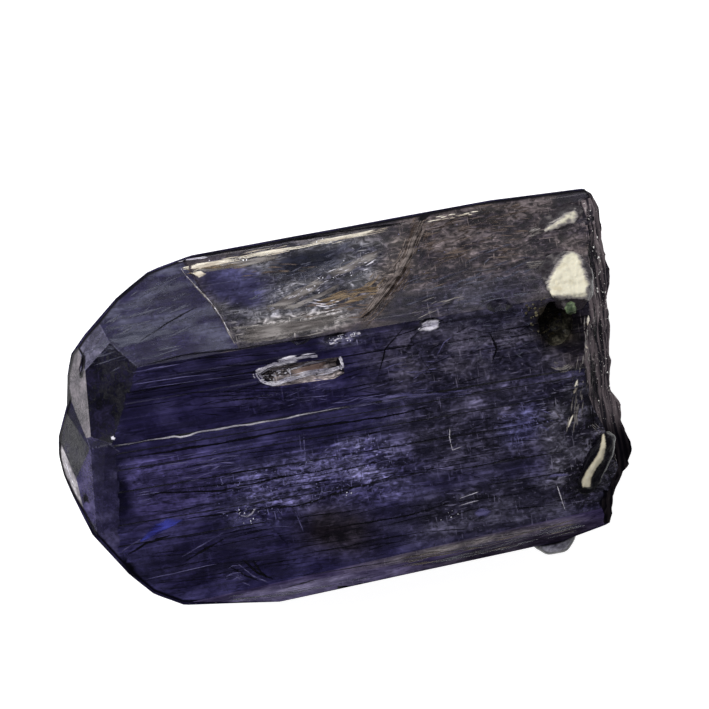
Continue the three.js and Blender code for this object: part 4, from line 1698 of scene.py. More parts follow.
FILMS: tuple[FilmSet, ...] = (
    FilmSet("slate_strands", SLATE, (
        Bundle(((-16.4, 5.9), (-13.5, 6.6), (-8.4, 7.6)), 2.6, 44, (0.05, 0.14), (0.1, 0.4), 11),
        Bundle(((-14.8, 7.6), (-12.0, 9.0), (-9.4, 10.4)), 1.6, 24, (0.05, 0.12), (0.1, 0.4), 12),
        Bundle(((-5.0, 8.2), (-1.0, 8.9), (3.4, 10.2)), 2.2, 60, (0.05, 0.16), (0.06, 0.25), 13),
        Bundle(((5.0, 6.4), (9.5, 6.8), (14.0, 7.4)), 2.6, 60, (0.04, 0.12), (0.06, 0.25), 14),
        Bundle(((7.4, 3.6), (10.5, 3.0), (13.4, 2.8)), 3.2, 70, (0.03, 0.09), (0.04, 0.14), 15),
        Bundle(((-10.5, -11.2), (-5.0, -11.5), (1.0, -11.4)), 0.6, 24, (0.04, 0.12), (0.08, 0.4), 16),
        Bundle(((4.0, -10.9), (9.0, -10.8), (14.5, -10.2)), 0.7, 30, (0.04, 0.12), (0.08, 0.4), 17),
        Patch(((-15.9, 6.6), (-14.6, 6.2), (-11.6, 6.4), (-9.2, 6.9), (-11.0, 7.4), (-14.0, 7.4))),
    )),
    FilmSet("brown_films", BROWN, (
        Bundle(((-1.8, 6.5), (1.12, 6.6), (3.2, 6.4)), 0.8, 24, (0.05, 0.14), (0.1, 0.35), 21),
        Bundle(((7.3, 11.3), (6.35, 9.87), (5.34, 8.15), (4.14, 7.05), (3.13, 6.2), (2.0, 5.5)),
               1.1, 90, (0.04, 0.13), (0.1, 0.4), 22),
        Bundle(((7.2, 11.3), (6.3, 9.87), (5.3, 8.15), (4.1, 7.05), (3.1, 6.2), (2.1, 5.6)),
               0.25, 30, (0.08, 0.16), (0.2, 0.5), 27),
        Bundle(((6.6, 10.4), (10.0, 10.9), (14.4, 10.6)), 1.7, 60, (0.04, 0.12), (0.06, 0.25), 23),
        Bundle(((6.2, 8.6), (10.0, 9.0), (13.6, 8.6)), 1.8, 50, (0.04, 0.12), (0.06, 0.25), 24),
        Bundle(((-5.2, 9.9), (-3.0, 9.9), (0.0, 9.3)), 0.7, 16, (0.04, 0.12), (0.1, 0.3), 25),
        Bundle(((2.0, -10.7), (8.0, -10.6), (14.0, -10.0)), 0.7, 24, (0.05, 0.14), (0.1, 0.4), 26),
    )),
    FilmSet("grey_films", GREY, (
        Patch(((-6.3, 6.5), (-5.0, 6.35), (-3.2, 6.3), (-0.6, 6.15), (1.2, 6.0), (0.4, 5.5),
               (-2.6, 5.2), (-6.2, 5.1))),
        Bundle(((-6.1, 5.7), (-3.0, 5.8), (0.2, 5.9), (1.8, 6.2)), 0.9, 60, (0.05, 0.16), (0.08, 0.3),
               31),
        Seam(((-8.95, 10.8), (-8.65, 10.2), (-7.35, 8.3), (-6.8, 7.05), (-6.45, 6.0), (-6.15, 5.2)),
               0.16, 0.3),
        Patch(((-4.4, 7.3), (-2.8, 7.8), (-1.2, 8.4), (0.2, 8.9), (0.8, 8.6), (-0.6, 7.8), (-2.4, 7.1),
               (-4.2, 6.8))),
        Patch(((0.0, 8.8), (1.6, 9.3), (3.4, 9.9), (4.5, 10.1), (4.2, 9.5), (2.4, 8.9), (0.6, 8.3))),
        Patch(((-8.4, 10.7), (-6.0, 10.7), (-3.5, 10.75), (-2.0, 10.7), (-2.6, 10.35), (-5.0, 10.25),
               (-7.6, 10.3))),
        Patch(((-3.6, 7.1), (-1.6, 7.4), (0.4, 7.9), (1.6, 8.3), (1.4, 7.9), (-0.4, 7.3), (-2.4, 6.8))),
        Bundle(((13.4, 7.3), (14.6, 7.2), (15.4, 7.0)), 0.8, 16, (0.06, 0.16), (0.3, 0.8), 32),
        Bundle(((13.9, 9.3), (14.9, 9.5), (15.7, 9.7)), 0.5, 40, (0.06, 0.18), (0.3, 0.8), 33),
        Bundle(((16.95, 3.6), (16.5, 1.6), (15.9, -0.4), (15.2, -2.4), (14.7, -4.2)),
               0.9, 34, (0.05, 0.15), (0.05, 0.18), 34),
        Bundle(((14.0, 0.6), (14.6, 0.2), (15.3, 0.5)), 0.5, 12, (0.06, 0.16), (0.3, 0.8), 35),
        Bundle(((15.9, -3.6), (16.9, -5.0), (17.4, -7.0)), 0.6, 14, (0.04, 0.1), (0.1, 0.4), 36),
        Bundle(((5.6, 5.2), (7.2, 5.6), (9.2, 5.9)), 0.6, 16, (0.05, 0.14), (0.1, 0.4), 37),
    )),
    FilmSet("ochre_films", OCHRE, (
        Bundle(((-0.9, 7.05), (0.51, 7.12), (1.57, 7.33), (2.73, 7.3), (3.9, 7.2)),
               0.55, 30, (0.06, 0.18), (0.15, 0.5), 41),
        Bundle(((1.6, 7.0), (3.41, 7.9), (4.2, 8.6)), 0.5, 12, (0.05, 0.14), (0.2, 0.5), 42),
        Bundle(((-8.75, 10.6), (-6.5, 10.5), (-4.4, 10.4)), 0.35, 14, (0.05, 0.14), (0.15, 0.5), 43),
    )),
    # Painted reflection: the bright blue flash inside the front face near the tip.
    FilmSet("blue_inner_reflection", BLUE_REFLECTION, (
        Patch(((-14.9, -6.6), (-13.74, -5.5), (-12.55, -5.2), (-11.2, -5.4), (-12.4, -5.9),
               (-13.43, -6.2))),
    )),
    FilmSet("dark_cracks", DARK, (
        Seam(((-14.61, -0.84), (-12.05, -0.88), (-8.21, -0.89), (-4.34, -0.8), (0.35, -0.91),
               (2.8, -0.97), (6.46, -0.78)), 0.17, 0.4),
        Seam(((-11.66, -5.43), (-8.98, -5.5), (-6.43, -5.54), (-3.9, -5.77), (-1.88, -5.48),
               (-0.09, -5.2), (2.11, -5.06), (5.62, -4.92)), 0.2, 0.4),
        Seam(((-14.77, -3.31), (-12.99, -3.42), (-8.73, -4.0), (-4.84, -3.76), (-0.13, -3.78)), 0.15),
        Seam(((-12.48, 6.5), (-10.4, 7.44), (-8.22, 8.22)), 0.12),
        Seam(((-7.49, -8.82), (-7.11, -9.65), (-6.57, -10.26)), 0.16),
        Seam(((-9.17, -8.93), (-8.15, -9.74), (-7.23, -10.34)), 0.16),
        Seam(((-2.68, -7.67), (3.13, -7.63), (6.1, -7.26)), 0.14),
        Seam(((-15.6, -7.2), (-14.2, -6.6), (-12.4, -6.3)), 0.2),
        Seam(((-11.9, -8.2), (-8.8, -7.0)), 0.18),
        Seam(((-8.2, -8.6), (-7.3, -9.7), (-6.3, -10.4)), 0.2),
        Seam(((-13.0, 4.92), (-9.74, 5.2), (-6.31, 5.0), (1.21, 4.85)), 0.14, 0.4),
        Bundle(((-14.4, 3.0), (-9.0, 3.0), (-2.0, 2.4)), 3.4, 40, (0.03, 0.08), (0.1, 0.5), 51),
        Bundle(((-1.0, 2.2), (6.0, 2.4), (13.6, 2.4)), 4.2, 36, (0.03, 0.08), (0.06, 0.3), 52),
        Bundle(((-14.4, -3.2), (-2.0, -3.4), (13.4, -3.2)), 4.6, 60, (0.03, 0.09), (0.06, 0.35), 53),
        Bundle(((-14.4, -8.2), (-2.0, -8.4), (14.4, -8.2)), 4.0, 50, (0.03, 0.09), (0.06, 0.3), 54),
        Bundle(((17.9, 10.6), (17.6, 5.4), (17.3, 2.0), (16.4, -1.6), (16.3, -4.0)),
               0.7, 40, (0.05, 0.12), (0.06, 0.3), 55),
        Bundle(((-7.0, 11.6), (0.0, 11.5), (6.0, 11.4)), 0.25, 20, (0.06, 0.14), (0.15, 0.5), 56),
        Seam(((5.0, 4.7), (3.4, 3.4), (2.6, 1.6)), 0.12),
        Seam(((10.3, 3.4), (10.6, 2.2), (10.2, 1.4)), 0.2),
    )),
    FilmSet("lilac_seams_and_edge_highlight", LILAC, (
        # The same edge's painted highlight, turning violet towards the break.
        Seam(((0.3, 0.1), (1.55, 0.26), (4.43, 0.14), (7.28, -0.19)), 0.42),
        Bundle(((0.3, 0.1), (4.43, 0.14), (8.6, -0.2)), 0.5, 20, (0.05, 0.12), (0.1, 0.4), 61),
        Seam(((-13.37, 3.51), (-6.23, 3.28)), 0.07),
        Seam(((-13.44, 3.84), (-9.99, 3.78), (-7.46, 3.61)), 0.08),
        Seam(((-13.31, 4.59), (-11.12, 4.67), (-9.84, 4.65)), 0.12),
        Seam(((-2.79, -1.03), (-2.89, -2.8)), 0.12), Seam(((-3.06, -1.11), (-3.12, -2.64)), 0.08),
        Seam(((-0.73, -2.14), (-0.61, -3.7)), 0.12), Seam(((-0.6, -3.7), (0.6, -3.9)), 0.1),
        Seam(((-14.95, -8.98), (-12.1, -8.82), (-9.77, -8.7)), 0.08),
        Seam(((-4.2, -6.04), (-3.83, -7.64)), 0.08),
        Seam(((-15.9, -6.9), (-15.1, -6.5), (-14.4, -6.25)), 0.12),
        Seam(((-12.1, -7.9), (-10.5, -7.3), (-9.0, -6.7)), 0.1),
        Seam(((-8.5, -8.9), (-7.6, -9.9), (-6.7, -10.5)), 0.16),
        Bundle(((-9.5, -9.9), (-8.6, -9.6), (-7.6, -10.2)), 0.8, 12, (0.05, 0.12), (0.2, 0.6), 62),
        Bundle(((-9.4, -4.6), (-4.0, -4.2), (0.0, -3.8), (4.2, -3.6)), 2.4, 110, (0.03, 0.1),
               (0.03, 0.14), 63),
        Bundle(((-1.6, -2.4), (-1.0, -3.6), (-1.2, -5.2)), 4.6, 60, (0.03, 0.08), (0.1, 0.35), 64),
        Bundle(((9.8, -2.2), (11.6, -2.8), (13.0, -3.8)), 1.8, 50, (0.04, 0.1), (0.08, 0.3), 65),
        Bundle(((-8.6, -6.4), (-6.6, -6.2), (-4.6, -6.6)), 1.2, 30, (0.03, 0.09), (0.08, 0.3), 66),
        Bundle(((-14.2, -2.2), (-11.0, -2.4), (-7.0, -2.2)), 2.4, 30, (0.04, 0.12), (0.08, 0.3), 67),
        Bundle(((-3.6, 1.2), (1.0, 1.4), (6.6, 1.6)), 1.8, 50, (0.03, 0.08), (0.04, 0.16), 68),
        Seam(((-1.63, -5.74), (0.59, -5.46), (2.81, -5.25), (3.82, -5.28)), 0.15),
        Seam(((6.54, 2.29), (7.27, 3.18), (7.9, 3.51)), 0.09),
        Patch(((7.3, -8.1), (7.9, -7.9), (8.7, -8.25), (8.3, -8.6), (7.5, -8.55))),
        Seam(((12.52, -6.66), (14.04, -6.7)), 0.3),
    )),
    FilmSet("pale_seams_and_highlights", PALE, (
        # Painted highlight along the edge between the flat face and the front face.
        Seam(((-14.97, 0.06), (-13.17, 0.07), (-11.13, 0.05), (-10.76, -0.07), (-10.12, -0.05),
               (-9.59, 0.05), (-6.77, 0.03), (-3.71, -0.02), (-2.79, 0.08), (0.51, 0.09)), 0.14, 0.35),
        Seam(((-9.0, 10.9), (-8.7, 10.3), (-7.9, 9.15), (-7.35, 8.3), (-6.8, 7.1), (-6.4, 6.0)),
               0.07, 0.3),
        # Painted reflection of the floor along the back rim.
        Bundle(((-10.4, 11.2), (-8.71, 11.35), (-6.0, 11.35)), 0.2, 10, (0.06, 0.14), (0.2, 0.6), 71),
        Bundle(((-3.6, 7.3), (-1.9, 7.7), (-0.9, 8.2)), 0.6, 24, (0.03, 0.11), (0.08, 0.3), 72),
        Bundle(((-1.2, 8.0), (1.0, 8.8), (2.6, 9.3), (4.2, 9.8)), 0.8, 34, (0.03, 0.1), (0.04, 0.16),
               73),
        Bundle(((-1.2, 7.2), (0.0, 6.9), (1.0, 7.0)), 0.5, 10, (0.05, 0.12), (0.2, 0.5), 74),
        Seam(((-7.87, -5.75), (-7.39, -5.96), (-6.99, -5.83), (-6.66, -5.44)), 0.16),
        Patch(((-15.25, 0.5), (-15.05, 0.42), (-14.9, 0.58), (-15.05, 0.76), (-15.25, 0.7))),
        Seam(((-18.62, 0.01), (-18.45, -1.2), (-18.2, -2.3)), 0.13),
        Seam(((13.07, -7.26), (13.21, -8.15), (13.35, -9.05)), 0.07),
        Seam(((6.56, -7.11), (7.61, -6.93), (7.98, -6.87)), 0.09),
        Seam(((6.34, -7.59), (7.96, -7.42)), 0.07),
        Seam(((6.77, -2.21), (6.6, -2.98), (6.67, -3.86), (7.42, -3.7)), 0.06),
        Bundle(((5.7, 4.15), (6.4, 4.45), (7.2, 4.65)), 0.5, 14, (0.08, 0.2), (0.3, 0.7), 75),
        Patch(((5.7, 4.2), (6.0, 4.7), (6.7, 4.9), (7.3, 4.7), (7.2, 4.2), (6.5, 4.0))),
        Patch(((6.4, 4.4), (6.6, 4.75), (7.0, 4.75), (7.1, 4.45), (6.7, 4.3))),
        Bundle(((-0.2, 4.4), (0.8, 4.6), (2.0, 4.7)), 0.5, 16, (0.05, 0.12), (0.1, 0.3), 76),
    )),
    FilmSet("cream_seams_and_rim_light", CREAM, (
        # The cream band along the back rim is painted light: the pale floor seen through the edge.
        Patch(((-8.9, 10.86), (-7.9, 11.0), (-6.6, 11.0), (-5.6, 10.98), (-5.4, 10.72), (-6.8, 10.62),
               (-8.2, 10.5))),
        Patch(((-8.5, 10.5), (-7.7, 10.5), (-7.3, 10.2), (-7.9, 10.0))),
        Patch(((-5.0, 10.95), (-3.8, 11.1), (-2.2, 11.1), (-1.2, 11.05), (-2.0, 10.8), (-3.8, 10.74))),
        Patch(((-0.9, 11.12), (1.0, 11.2), (3.0, 11.26), (4.6, 11.3), (3.6, 11.02), (1.2, 10.92))),
        Bundle(((-8.9, 10.8), (-5.0, 10.85), (-1.7, 11.0)), 0.4, 40, (0.03, 0.08), (0.12, 0.4), 81),
        Bundle(((-1.9, 10.95), (0.96, 11.04), (4.98, 11.19)), 0.3, 26, (0.03, 0.08), (0.1, 0.4), 82),
        Bundle(((7.4, 11.3), (9.53, 11.3), (11.4, 11.3)), 0.3, 16, (0.03, 0.09), (0.1, 0.3), 83),
        Seam(((16.86, 3.45), (16.81, 3.0), (16.7, 2.6)), 0.22),
        Seam(((16.3, 1.6), (16.42, 1.3), (16.3, 0.9)), 0.28),
        Seam(((15.05, -1.6), (15.3, -1.2), (15.5, -0.6)), 0.2),
        Seam(((14.33, -3.7), (14.6, -3.3), (14.95, -2.8)), 0.16),
    )),
    FilmSet("growth_edge", TAN, (
        Seam(((7.3, 11.4), (6.6, 10.4), (5.95, 9.24), (5.1, 8.3), (4.0, 7.25), (3.2, 6.5),
               (2.61, 5.87)), 0.34, 0.3),
        Bundle(((7.3, 11.3), (6.6, 10.4), (5.95, 9.24), (5.1, 8.3), (4.0, 7.25), (2.61, 5.87)),
               0.7, 60, (0.04, 0.12), (0.1, 0.4), 46),
    ), lift=0.06),
    FilmSet("pit_floor", PIT_GREY, (
        Patch(((-3.05, 3.08), (-1.7, 3.25), (-0.45, 3.35), (-0.3, 2.75), (-1.6, 2.55), (-2.85, 2.45))),
    ), lift=0.012),
    # Painted highlights along the rims of the pit and across it.
    FilmSet("pit_rim_highlights", PALE, (
        Bundle(((-5.13, 3.2), (-4.5, 3.48), (-4.11, 3.6), (-2.9, 3.74), (-1.0, 3.75)),
               0.24, 40, (0.1, 0.2), (0.1, 0.4), 91),
        Bundle(((-4.95, 2.65), (-4.4, 2.35), (-3.9, 2.34), (-3.28, 2.5), (-0.43, 2.64), (0.48, 2.76)),
               0.2, 44, (0.09, 0.2), (0.1, 0.4), 92),
        Bundle(((0.32, 3.4), (0.5, 2.9), (0.5, 2.5)), 0.22, 10, (0.08, 0.16), (0.3, 0.8), 93),
        Bundle(((-5.2, 3.3), (-5.0, 2.9), (-4.8, 2.5)), 0.3, 18, (0.08, 0.18), (0.2, 0.7), 94),
        Bundle(((-3.0, 3.12), (-1.7, 3.26), (-0.4, 3.36)), 0.12, 22, (0.08, 0.14), (0.2, 0.6), 95),
        Bundle(((-4.7, 2.9), (-4.0, 3.0), (-3.1, 3.0)), 0.6, 20, (0.05, 0.12), (0.08, 0.25), 96),
        Bundle(((-3.1, 3.2), (-3.0, 2.9), (-2.9, 2.5)), 0.16, 8, (0.06, 0.12), (0.3, 0.8), 97),
    ), lift=0.03),
)


# -------------------------------------------------------------------------- scatters


@dataclass(frozen=True)
class Scatter:
    """Small plates or grains strewn over a patch of the skin by geometry nodes.

    Attributes:
        name: Name of the piece.
        finish: Their finish.
        field: The patches that they lie on.
        slot: The record's material slot.
        density: How many there are on a square millimetre.
        sizes: Least and most half-width.
        shape: Length, width and thickness, as multiples of the half-width.
        lean: Most tilt from the skin, in degrees.
        depth: How far below the skin they lie.
        seed: What the random draw starts from.
    """

    name: str
    finish: SparkFinish
    field: tuple[Patch, ...]
    slot: str
    density: float
    sizes: tuple[float, float]
    shape: Triple
    lean: float
    depth: float
    seed: int

    def tree(self, material: bpy.types.Material) -> tuple[bpy.types.NodeTree, dict[str, str]]:
        """Build the tree that strews the grains.

        Args:
            material: Their material.

        Returns:
            The tree, and the identifier of each named input.
        """
        tree = bpy.data.node_groups.new(self.name, "GeometryNodeTree")
        tree.interface.new_socket(name="Geometry", in_out="INPUT", socket_type="NodeSocketGeometry")
        named = {}
        for label in ("Density", "Least size", "Most size", "Lean"):
            socket = tree.interface.new_socket(
                name=label, in_out="INPUT", socket_type="NodeSocketFloat")
            named[label] = socket.identifier
        tree.interface.new_socket(name="Geometry", in_out="OUTPUT", socket_type="NodeSocketGeometry")
        graph = Graph(tree)
        given = graph.node("NodeGroupInput")
        spread = graph.node("GeometryNodeDistributePointsOnFaces", inputs={
            "Mesh": given.outputs["Geometry"], "Density": given.outputs["Density"], "Seed": self.seed})
        lean = graph.math("RADIANS", Signal(graph, given.outputs["Lean"]))
        back = 0 - lean
        low, high = (graph.signal("ShaderNodeCombineXYZ", inputs={0: side, 1: side, 2: turn})
                     for side, turn in ((back, -math.pi), (lean, math.pi)))
        turned = graph.node("FunctionNodeRandomValue", {"data_type": "FLOAT_VECTOR"}, {
            0: low, 1: high, "Seed": self.seed + 1})
        aligned = graph.node("FunctionNodeRotateRotation", {"rotation_space": "LOCAL"}, {
            0: spread.outputs["Rotation"], 1: turned.outputs[0]})
        sized = graph.node("FunctionNodeRandomValue", {"data_type": "FLOAT"}, {
            2: given.outputs["Least size"], 3: given.outputs["Most size"], "Seed": self.seed + 2})
        grain = graph.node("GeometryNodeMeshIcoSphere", inputs={"Radius": 1.0, "Subdivisions": 1})
        shaped = graph.node("GeometryNodeTransform", inputs={
            "Geometry": grain.outputs["Mesh"], "Scale": self.shape})
        strewn = graph.node("GeometryNodeInstanceOnPoints", inputs={
            "Points": spread.outputs["Points"], "Instance": shaped.outputs["Geometry"],
            "Rotation": aligned.outputs[0], "Scale": sized.outputs[1]})
        real = graph.node("GeometryNodeRealizeInstances", inputs={
            "Geometry": strewn.outputs["Instances"]})
        dressed = graph.node("GeometryNodeSetMaterial", inputs={
            "Geometry": real.outputs["Geometry"], "Material": material})
        graph.node("NodeGroupOutput", inputs={"Geometry": dressed.outputs["Geometry"]})
        return tree, named

    def build(self, ground: Ground) -> bpy.types.Object:
        """Build the piece.

        Args:
            ground: The crystal's skin.

        Returns:
            The piece.
        """
        flat, joined = [], []
        for patch in self.field:
            rows = patch.rows()
            joined += quads(len(rows), len(rows[0]), True, len(flat))
            flat += [place for row in rows for place in row]
        places, faces = ground.laid(flat, -self.depth), np.array(joined)
        base = bpy.data.meshes.new(self.name)
        base.from_pydata((places * MM).tolist(), [], faces[~Ground.drops(places, faces)].tolist())
        holder = bpy.data.objects.new(self.name + "_field", base)
        bpy.context.scene.collection.objects.link(holder)
        material = self.finish.build()
        modifier = holder.modifiers.new("strew", "NODES")
        modifier.node_group, named = self.tree(material)
        modifier[named["Density"]] = self.density / MM ** 2
        modifier[named["Least size"]] = self.sizes[0] * MM
        modifier[named["Most size"]] = self.sizes[1] * MM
        modifier[named["Lean"]] = self.lean
        mesh = bpy.data.meshes.new_from_object(
            holder.evaluated_get(bpy.context.evaluated_depsgraph_get()))
        bpy.data.objects.remove(holder)
        mesh.materials.clear()
        return place_piece(self.name, mesh, material, self.slot)


GLINT = SparkFinish("glint", tone(214, 212, 226), tone(244, 244, 250), 0.0, 0.15)
SILK = SparkFinish("silk", tone(92, 90, 132), tone(132, 130, 172), 0.0, 0.25)
CRUMB = SparkFinish("brown_crumb", tone(44, 39, 30), tone(98, 92, 72), 0.0, 0.35)
# Near-white chips, painted bright as the break's glints.
SHARD_GLINT = SparkFinish("shard_glint", tone(190, 184, 178), tone(236, 234, 230), 0.3, 0.2)

SCATTERS: tuple[Scatter, ...] = (
    Scatter("veil_specks", SILK, (
        Patch(((-9.3, -3.7), (-0.2, -2.4), (3.4, -2.4), (3.6, -4.6), (-0.6, -5.4), (-9.0, -6.6))),
        Patch(((9.8, -2.2), (12.8, -1.9), (13.4, -3.8), (10.2, -3.9))),
    ), "tanzanite", 3.6, (0.02, 0.06), (1.0, 1.0, 0.3), 30.0, 0.0, 3),
    Scatter("veil_needles", SILK, (
        Patch(((-9.3, -3.2), (-0.2, -2.0), (4.4, -2.2), (3.6, -5.0), (-0.6, -5.4), (-9.0, -6.6))),
    ), "tanzanite", 0.8, (0.015, 0.03), (12.0, 1.0, 1.0), 4.0, 0.01, 5),
    Scatter("pit_glints", GLINT, (
        Patch(((-4.9, 2.8), (-4.2, 3.4), (-3.2, 3.4), (-3.2, 2.6), (-4.3, 2.4))),
        Patch(((-0.5, 4.3), (0.6, 4.2), (2.0, 4.4), (1.8, 4.75), (0.0, 4.75))),
    ), "tanzanite", 7.0, (0.02, 0.07), (1.2, 0.9, 0.3), 50.0, 0.0, 7),
    Scatter("window_glints", GLINT, (
        Patch(((-4.8, 7.4), (-0.4, 7.4), (3.9, 9.2), (4.4, 10.2), (0.2, 9.4))),
        Patch(((-8.6, 10.5), (0.0, 10.8), (5.0, 11.1), (4.8, 11.4), (-2.0, 11.3), (-8.4, 11.1))),
    ), "tanzanite", 1.6, (0.02, 0.07), (1.6, 0.8, 0.3), 40.0, 0.0, 9),
    Scatter("front_glints", GLINT, (
        Patch(((4.9, -7.8), (6.8, -7.6), (7.2, -8.3), (5.0, -8.3))),
        Patch(((-8.2, -5.5), (-6.6, -5.3), (-6.2, -6.5), (-8.0, -6.6))),
        Patch(((-1.2, -5.6), (0.2, -5.2), (0.4, -6.2), (-1.0, -6.4))),
    ), "tanzanite", 5.0, (0.02, 0.055), (1.3, 0.9, 0.3), 40.0, 0.0, 11),
    Scatter("haze_specks", SILK, (
        Patch(((7.0, 0.4), (13.6, 0.2), (13.8, 4.4), (8.4, 4.6))),
        Patch(((4.0, 9.0), (8.0, 6.0), (14.0, 6.0), (13.6, 10.5), (6.0, 11.2))),
    ), "tanzanite", 1.1, (0.015, 0.045), (1.8, 0.8, 0.4), 30.0, 0.02, 13),
    Scatter("cavity_crumbs", CRUMB, (
        Patch(((12.7, 4.6), (13.4, 5.1), (14.6, 4.9), (15.4, 4.4), (15.0, 3.0), (14.0, 2.2),
               (13.1, 3.0))),
    ), "tanzanite", 16.0, (0.03, 0.12), (1.0, 1.0, 0.7), 60.0, 0.0, 15),
    # Chips on the break, painted near-white as its glints.
    Scatter("base_shards", SHARD_GLINT, (
        Patch(((16.9, 0.9), (17.7, 0.8), (17.6, -2.4), (16.6, -2.2))),
        Patch(((17.9, 10.6), (18.5, 10.4), (18.4, 1.2), (17.6, 1.0))),
    ), "tanzanite", 3.2, (0.03, 0.1), (1.2, 0.9, 0.4), 60.0, -0.01, 17),
)


@dataclass
class CavityBead:
    """The small glassy bead at the lip of the hole.

    Attributes:
        centre: Its middle.
        radius: Its radius.
        lumpy: Height of its lumps, as a share of its radius.
        lump_scale: Its lumps for each radius.
        rounds: Times that its faces are halved both ways.
    """

    centre: Triple = (15.85, 4.02, 15.2)
    radius: float = 0.42
    lumpy: float = 0.25
    lump_scale: float = 1.3
    rounds: int = 4

    def build(self) -> bpy.types.Object:
        """Build the piece.

        Returns:
            The piece.
        """
        solid = bmesh.new()
        placed = Matrix.Translation(Vector(self.centre) * MM)
        bmesh.ops.create_icosphere(solid, subdivisions=self.rounds, radius=self.radius * MM,
                                  matrix=placed)
        for vertex in solid.verts:
            outward = (vertex.co / MM - Vector(self.centre)).normalized()
            lump = outward * rugged(outward * self.lump_scale, layers=3) * self.lumpy
            vertex.co += lump * self.radius * MM
        for face in solid.faces:
            face.smooth = True
        mesh = bpy.data.meshes.new("cavity_bead")
        solid.to_mesh(mesh)
        solid.free()
        green = SparkFinish("green_bead", tone(58, 70, 52), tone(98, 112, 84), 0.0, 0.08)
        return place_piece("cavity_bead", mesh, green.build(), "tanzanite")


# ---------------------------------------------------------------------------- studio


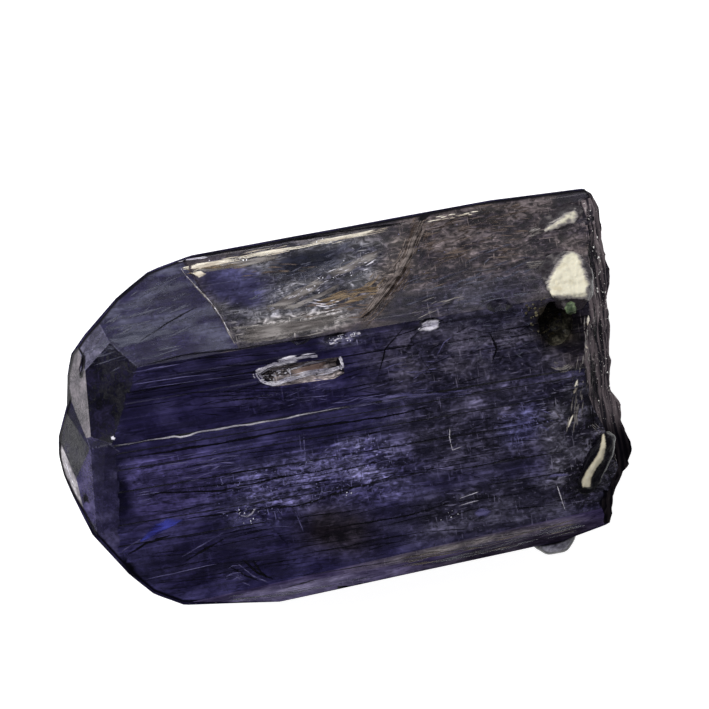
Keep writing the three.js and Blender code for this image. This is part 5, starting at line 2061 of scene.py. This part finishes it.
@dataclass
class Studio:
    """The pale floor, the soft light and the camera.

    Attributes:
        roll: How far the camera is turned about its view.
        aim: Place in plan that it looks at.
        girdle: Height that the view's width is measured at.
        view_width: What the camera sees there, from side to side.
        distance: From there to the camera.
        clip: Nearest and furthest that it sees, in metres.
        floor_half: Half the floor's side.
        floor_drop: How far the floor lies under the crystal.
        floor_tones: Darkest and palest tone of the floor.
        floor_glow: How strongly it shines of itself.
        key_place: Where the lamp hangs.
        key_side: Length of its side.
        key_power: Its watts.
        dome: Height in the sky, from 0 to 1, and brightness there as red-green and as blue.
        even: Brightness of the sky before it falls off to one side.
        lopsided: How much it falls off along x and y.
    """

    roll: float = 9.5
    aim: Place = (1.365, 3.377)
    girdle: float = 9.6
    view_width: float = 46.831
    distance: float = 520.0
    clip: Place = (0.01, 20.0)
    floor_half: float = 1400.0
    floor_drop: float = 0.03
    floor_tones: Place = (0.46, 0.50)
    floor_glow: float = 0.94
    key_place: Triple = (-260.0, 300.0, 420.0)
    key_side: float = 500.0
    key_power: float = 4.0
    dome: tuple[Triple, ...] = (
        (0.00, 1.00, 1.02), (0.30, 0.80, 0.83), (0.55, 0.42, 0.45), (0.80, 0.20, 0.22),
        (1.00, 0.12, 0.14))
    even: float = 0.62
    lopsided: Place = (0.20, 0.38)

    def floor(self) -> None:
        """Lay the pale floor just under the crystal."""
        mesh = bpy.data.meshes.new("floor")
        half, drop = self.floor_half * MM, -self.floor_drop * MM
        corners = [(x * half, y * half, drop) for x, y in ((-1, -1), (1, -1), (1, 1), (-1, 1))]
        mesh.from_pydata(corners, [], [(0, 1, 2, 3)])
        material, graph, spot = new_material("floor")
        dark, pale = ((grey,) * 3 for grey in self.floor_tones)
        mottle = graph.blend(graph.cloud(spot, scale=0.02, detail=2.0, seed=9.0), dark, pale)
        graph.output(graph.principled(
            Base_Color=mottle, Roughness=0.9, Specular_IOR_Level=0.1,
            Emission_Color=(1.0, 1.0, 1.0), Emission_Strength=self.floor_glow))
        mesh.materials.append(material)
        floor = bpy.data.objects.new("floor", mesh)
        bpy.context.scene.collection.objects.link(floor)

    def sky(self) -> None:
        """Light the room: pale low down, dim overhead."""
        world = bpy.data.worlds.new("studio")
        world.use_nodes = True
        graph = Graph(world.node_tree)
        way = graph.signal("ShaderNodeTexCoord", output="Generated")
        axes = graph.node("ShaderNodeSeparateXYZ", inputs={"Vector": way})
        ahead, across, upward = (Signal(graph, axes.outputs[name]) for name in "XYZ")
        stops = [(height, (grey, grey, blue)) for height, grey, blue in self.dome]
        dome = graph.node("ShaderNodeValToRGB", {"stops": stops}, {0: upward})
        strength = (self.even + across * self.lopsided[1] + ahead * self.lopsided[0]).clipped()
        back = graph.node("ShaderNodeBackground", inputs={
            "Color": dome.outputs["Color"], "Strength": strength})
        graph.node("ShaderNodeOutputWorld", inputs={"Surface": back.outputs[0]})
        bpy.context.scene.world = world

    def lamp(self) -> None:
        """Hang a soft square light that faces the crystal and leaves no glint on it."""
        light = bpy.data.lights.new("key", "AREA")
        light.shape = "SQUARE"
        light.size = self.key_side * MM
        light.energy = self.key_power
        holder = bpy.data.objects.new("key", light)
        holder.visible_glossy = False
        holder.location = Vector(self.key_place) * MM
        holder.rotation_euler = (-holder.location).to_track_quat("-Z", "Y").to_euler()
        bpy.context.scene.collection.objects.link(holder)

    def camera(self) -> None:
        """Look straight down on the crystal through a long lens."""
        data = bpy.data.cameras.new("camera")
        data.lens = data.sensor_width * self.distance / self.view_width
        data.clip_start, data.clip_end = self.clip
        holder = bpy.data.objects.new("camera", data)
        holder.location = Vector((*self.aim, self.girdle + self.distance)) * MM
        holder.rotation_euler = (0.0, 0.0, -math.radians(self.roll))
        bpy.context.scene.collection.objects.link(holder)
        bpy.context.scene.camera = holder

    def build(self) -> None:
        """Set up the whole studio."""
        self.floor()
        self.sky()
        self.lamp()
        self.camera()
        scene = bpy.context.scene
        scene.view_settings.view_transform = "Standard"
        scene.view_settings.look = "None"
        log.info("studio ready")


def main() -> None:
    """Build every piece in order and note the sizes."""
    logging.basicConfig(level=logging.INFO, format="%(name)s: %(message)s")
    tanzanite = TanzaniteFinish().build()
    dull = TanzaniteFinish("dull_tanzanite", veil_gloss=0.0).build()
    body = CrystalBody().build(tanzanite, BreakFinish().build(), dull)
    skin = Ground(body.data)
    ragged = CalciteFinish("calcite").build()
    clean = CalciteFinish("clean_calcite", 0.12, tone(16, 15, 20), smear=tone(186, 178, 156),
                          mottle=tone(40, 38, 44)).build()
    for crust in CRUSTS:
        crust.build(clean if crust.node == "calcite_sliver" else ragged, skin)
    for films in FILMS:
        films.build(skin)
    for scatter in SCATTERS:
        scatter.build(skin)
    CavityBead().build()
    Studio().build()


if __name__ == "__main__":
    main()
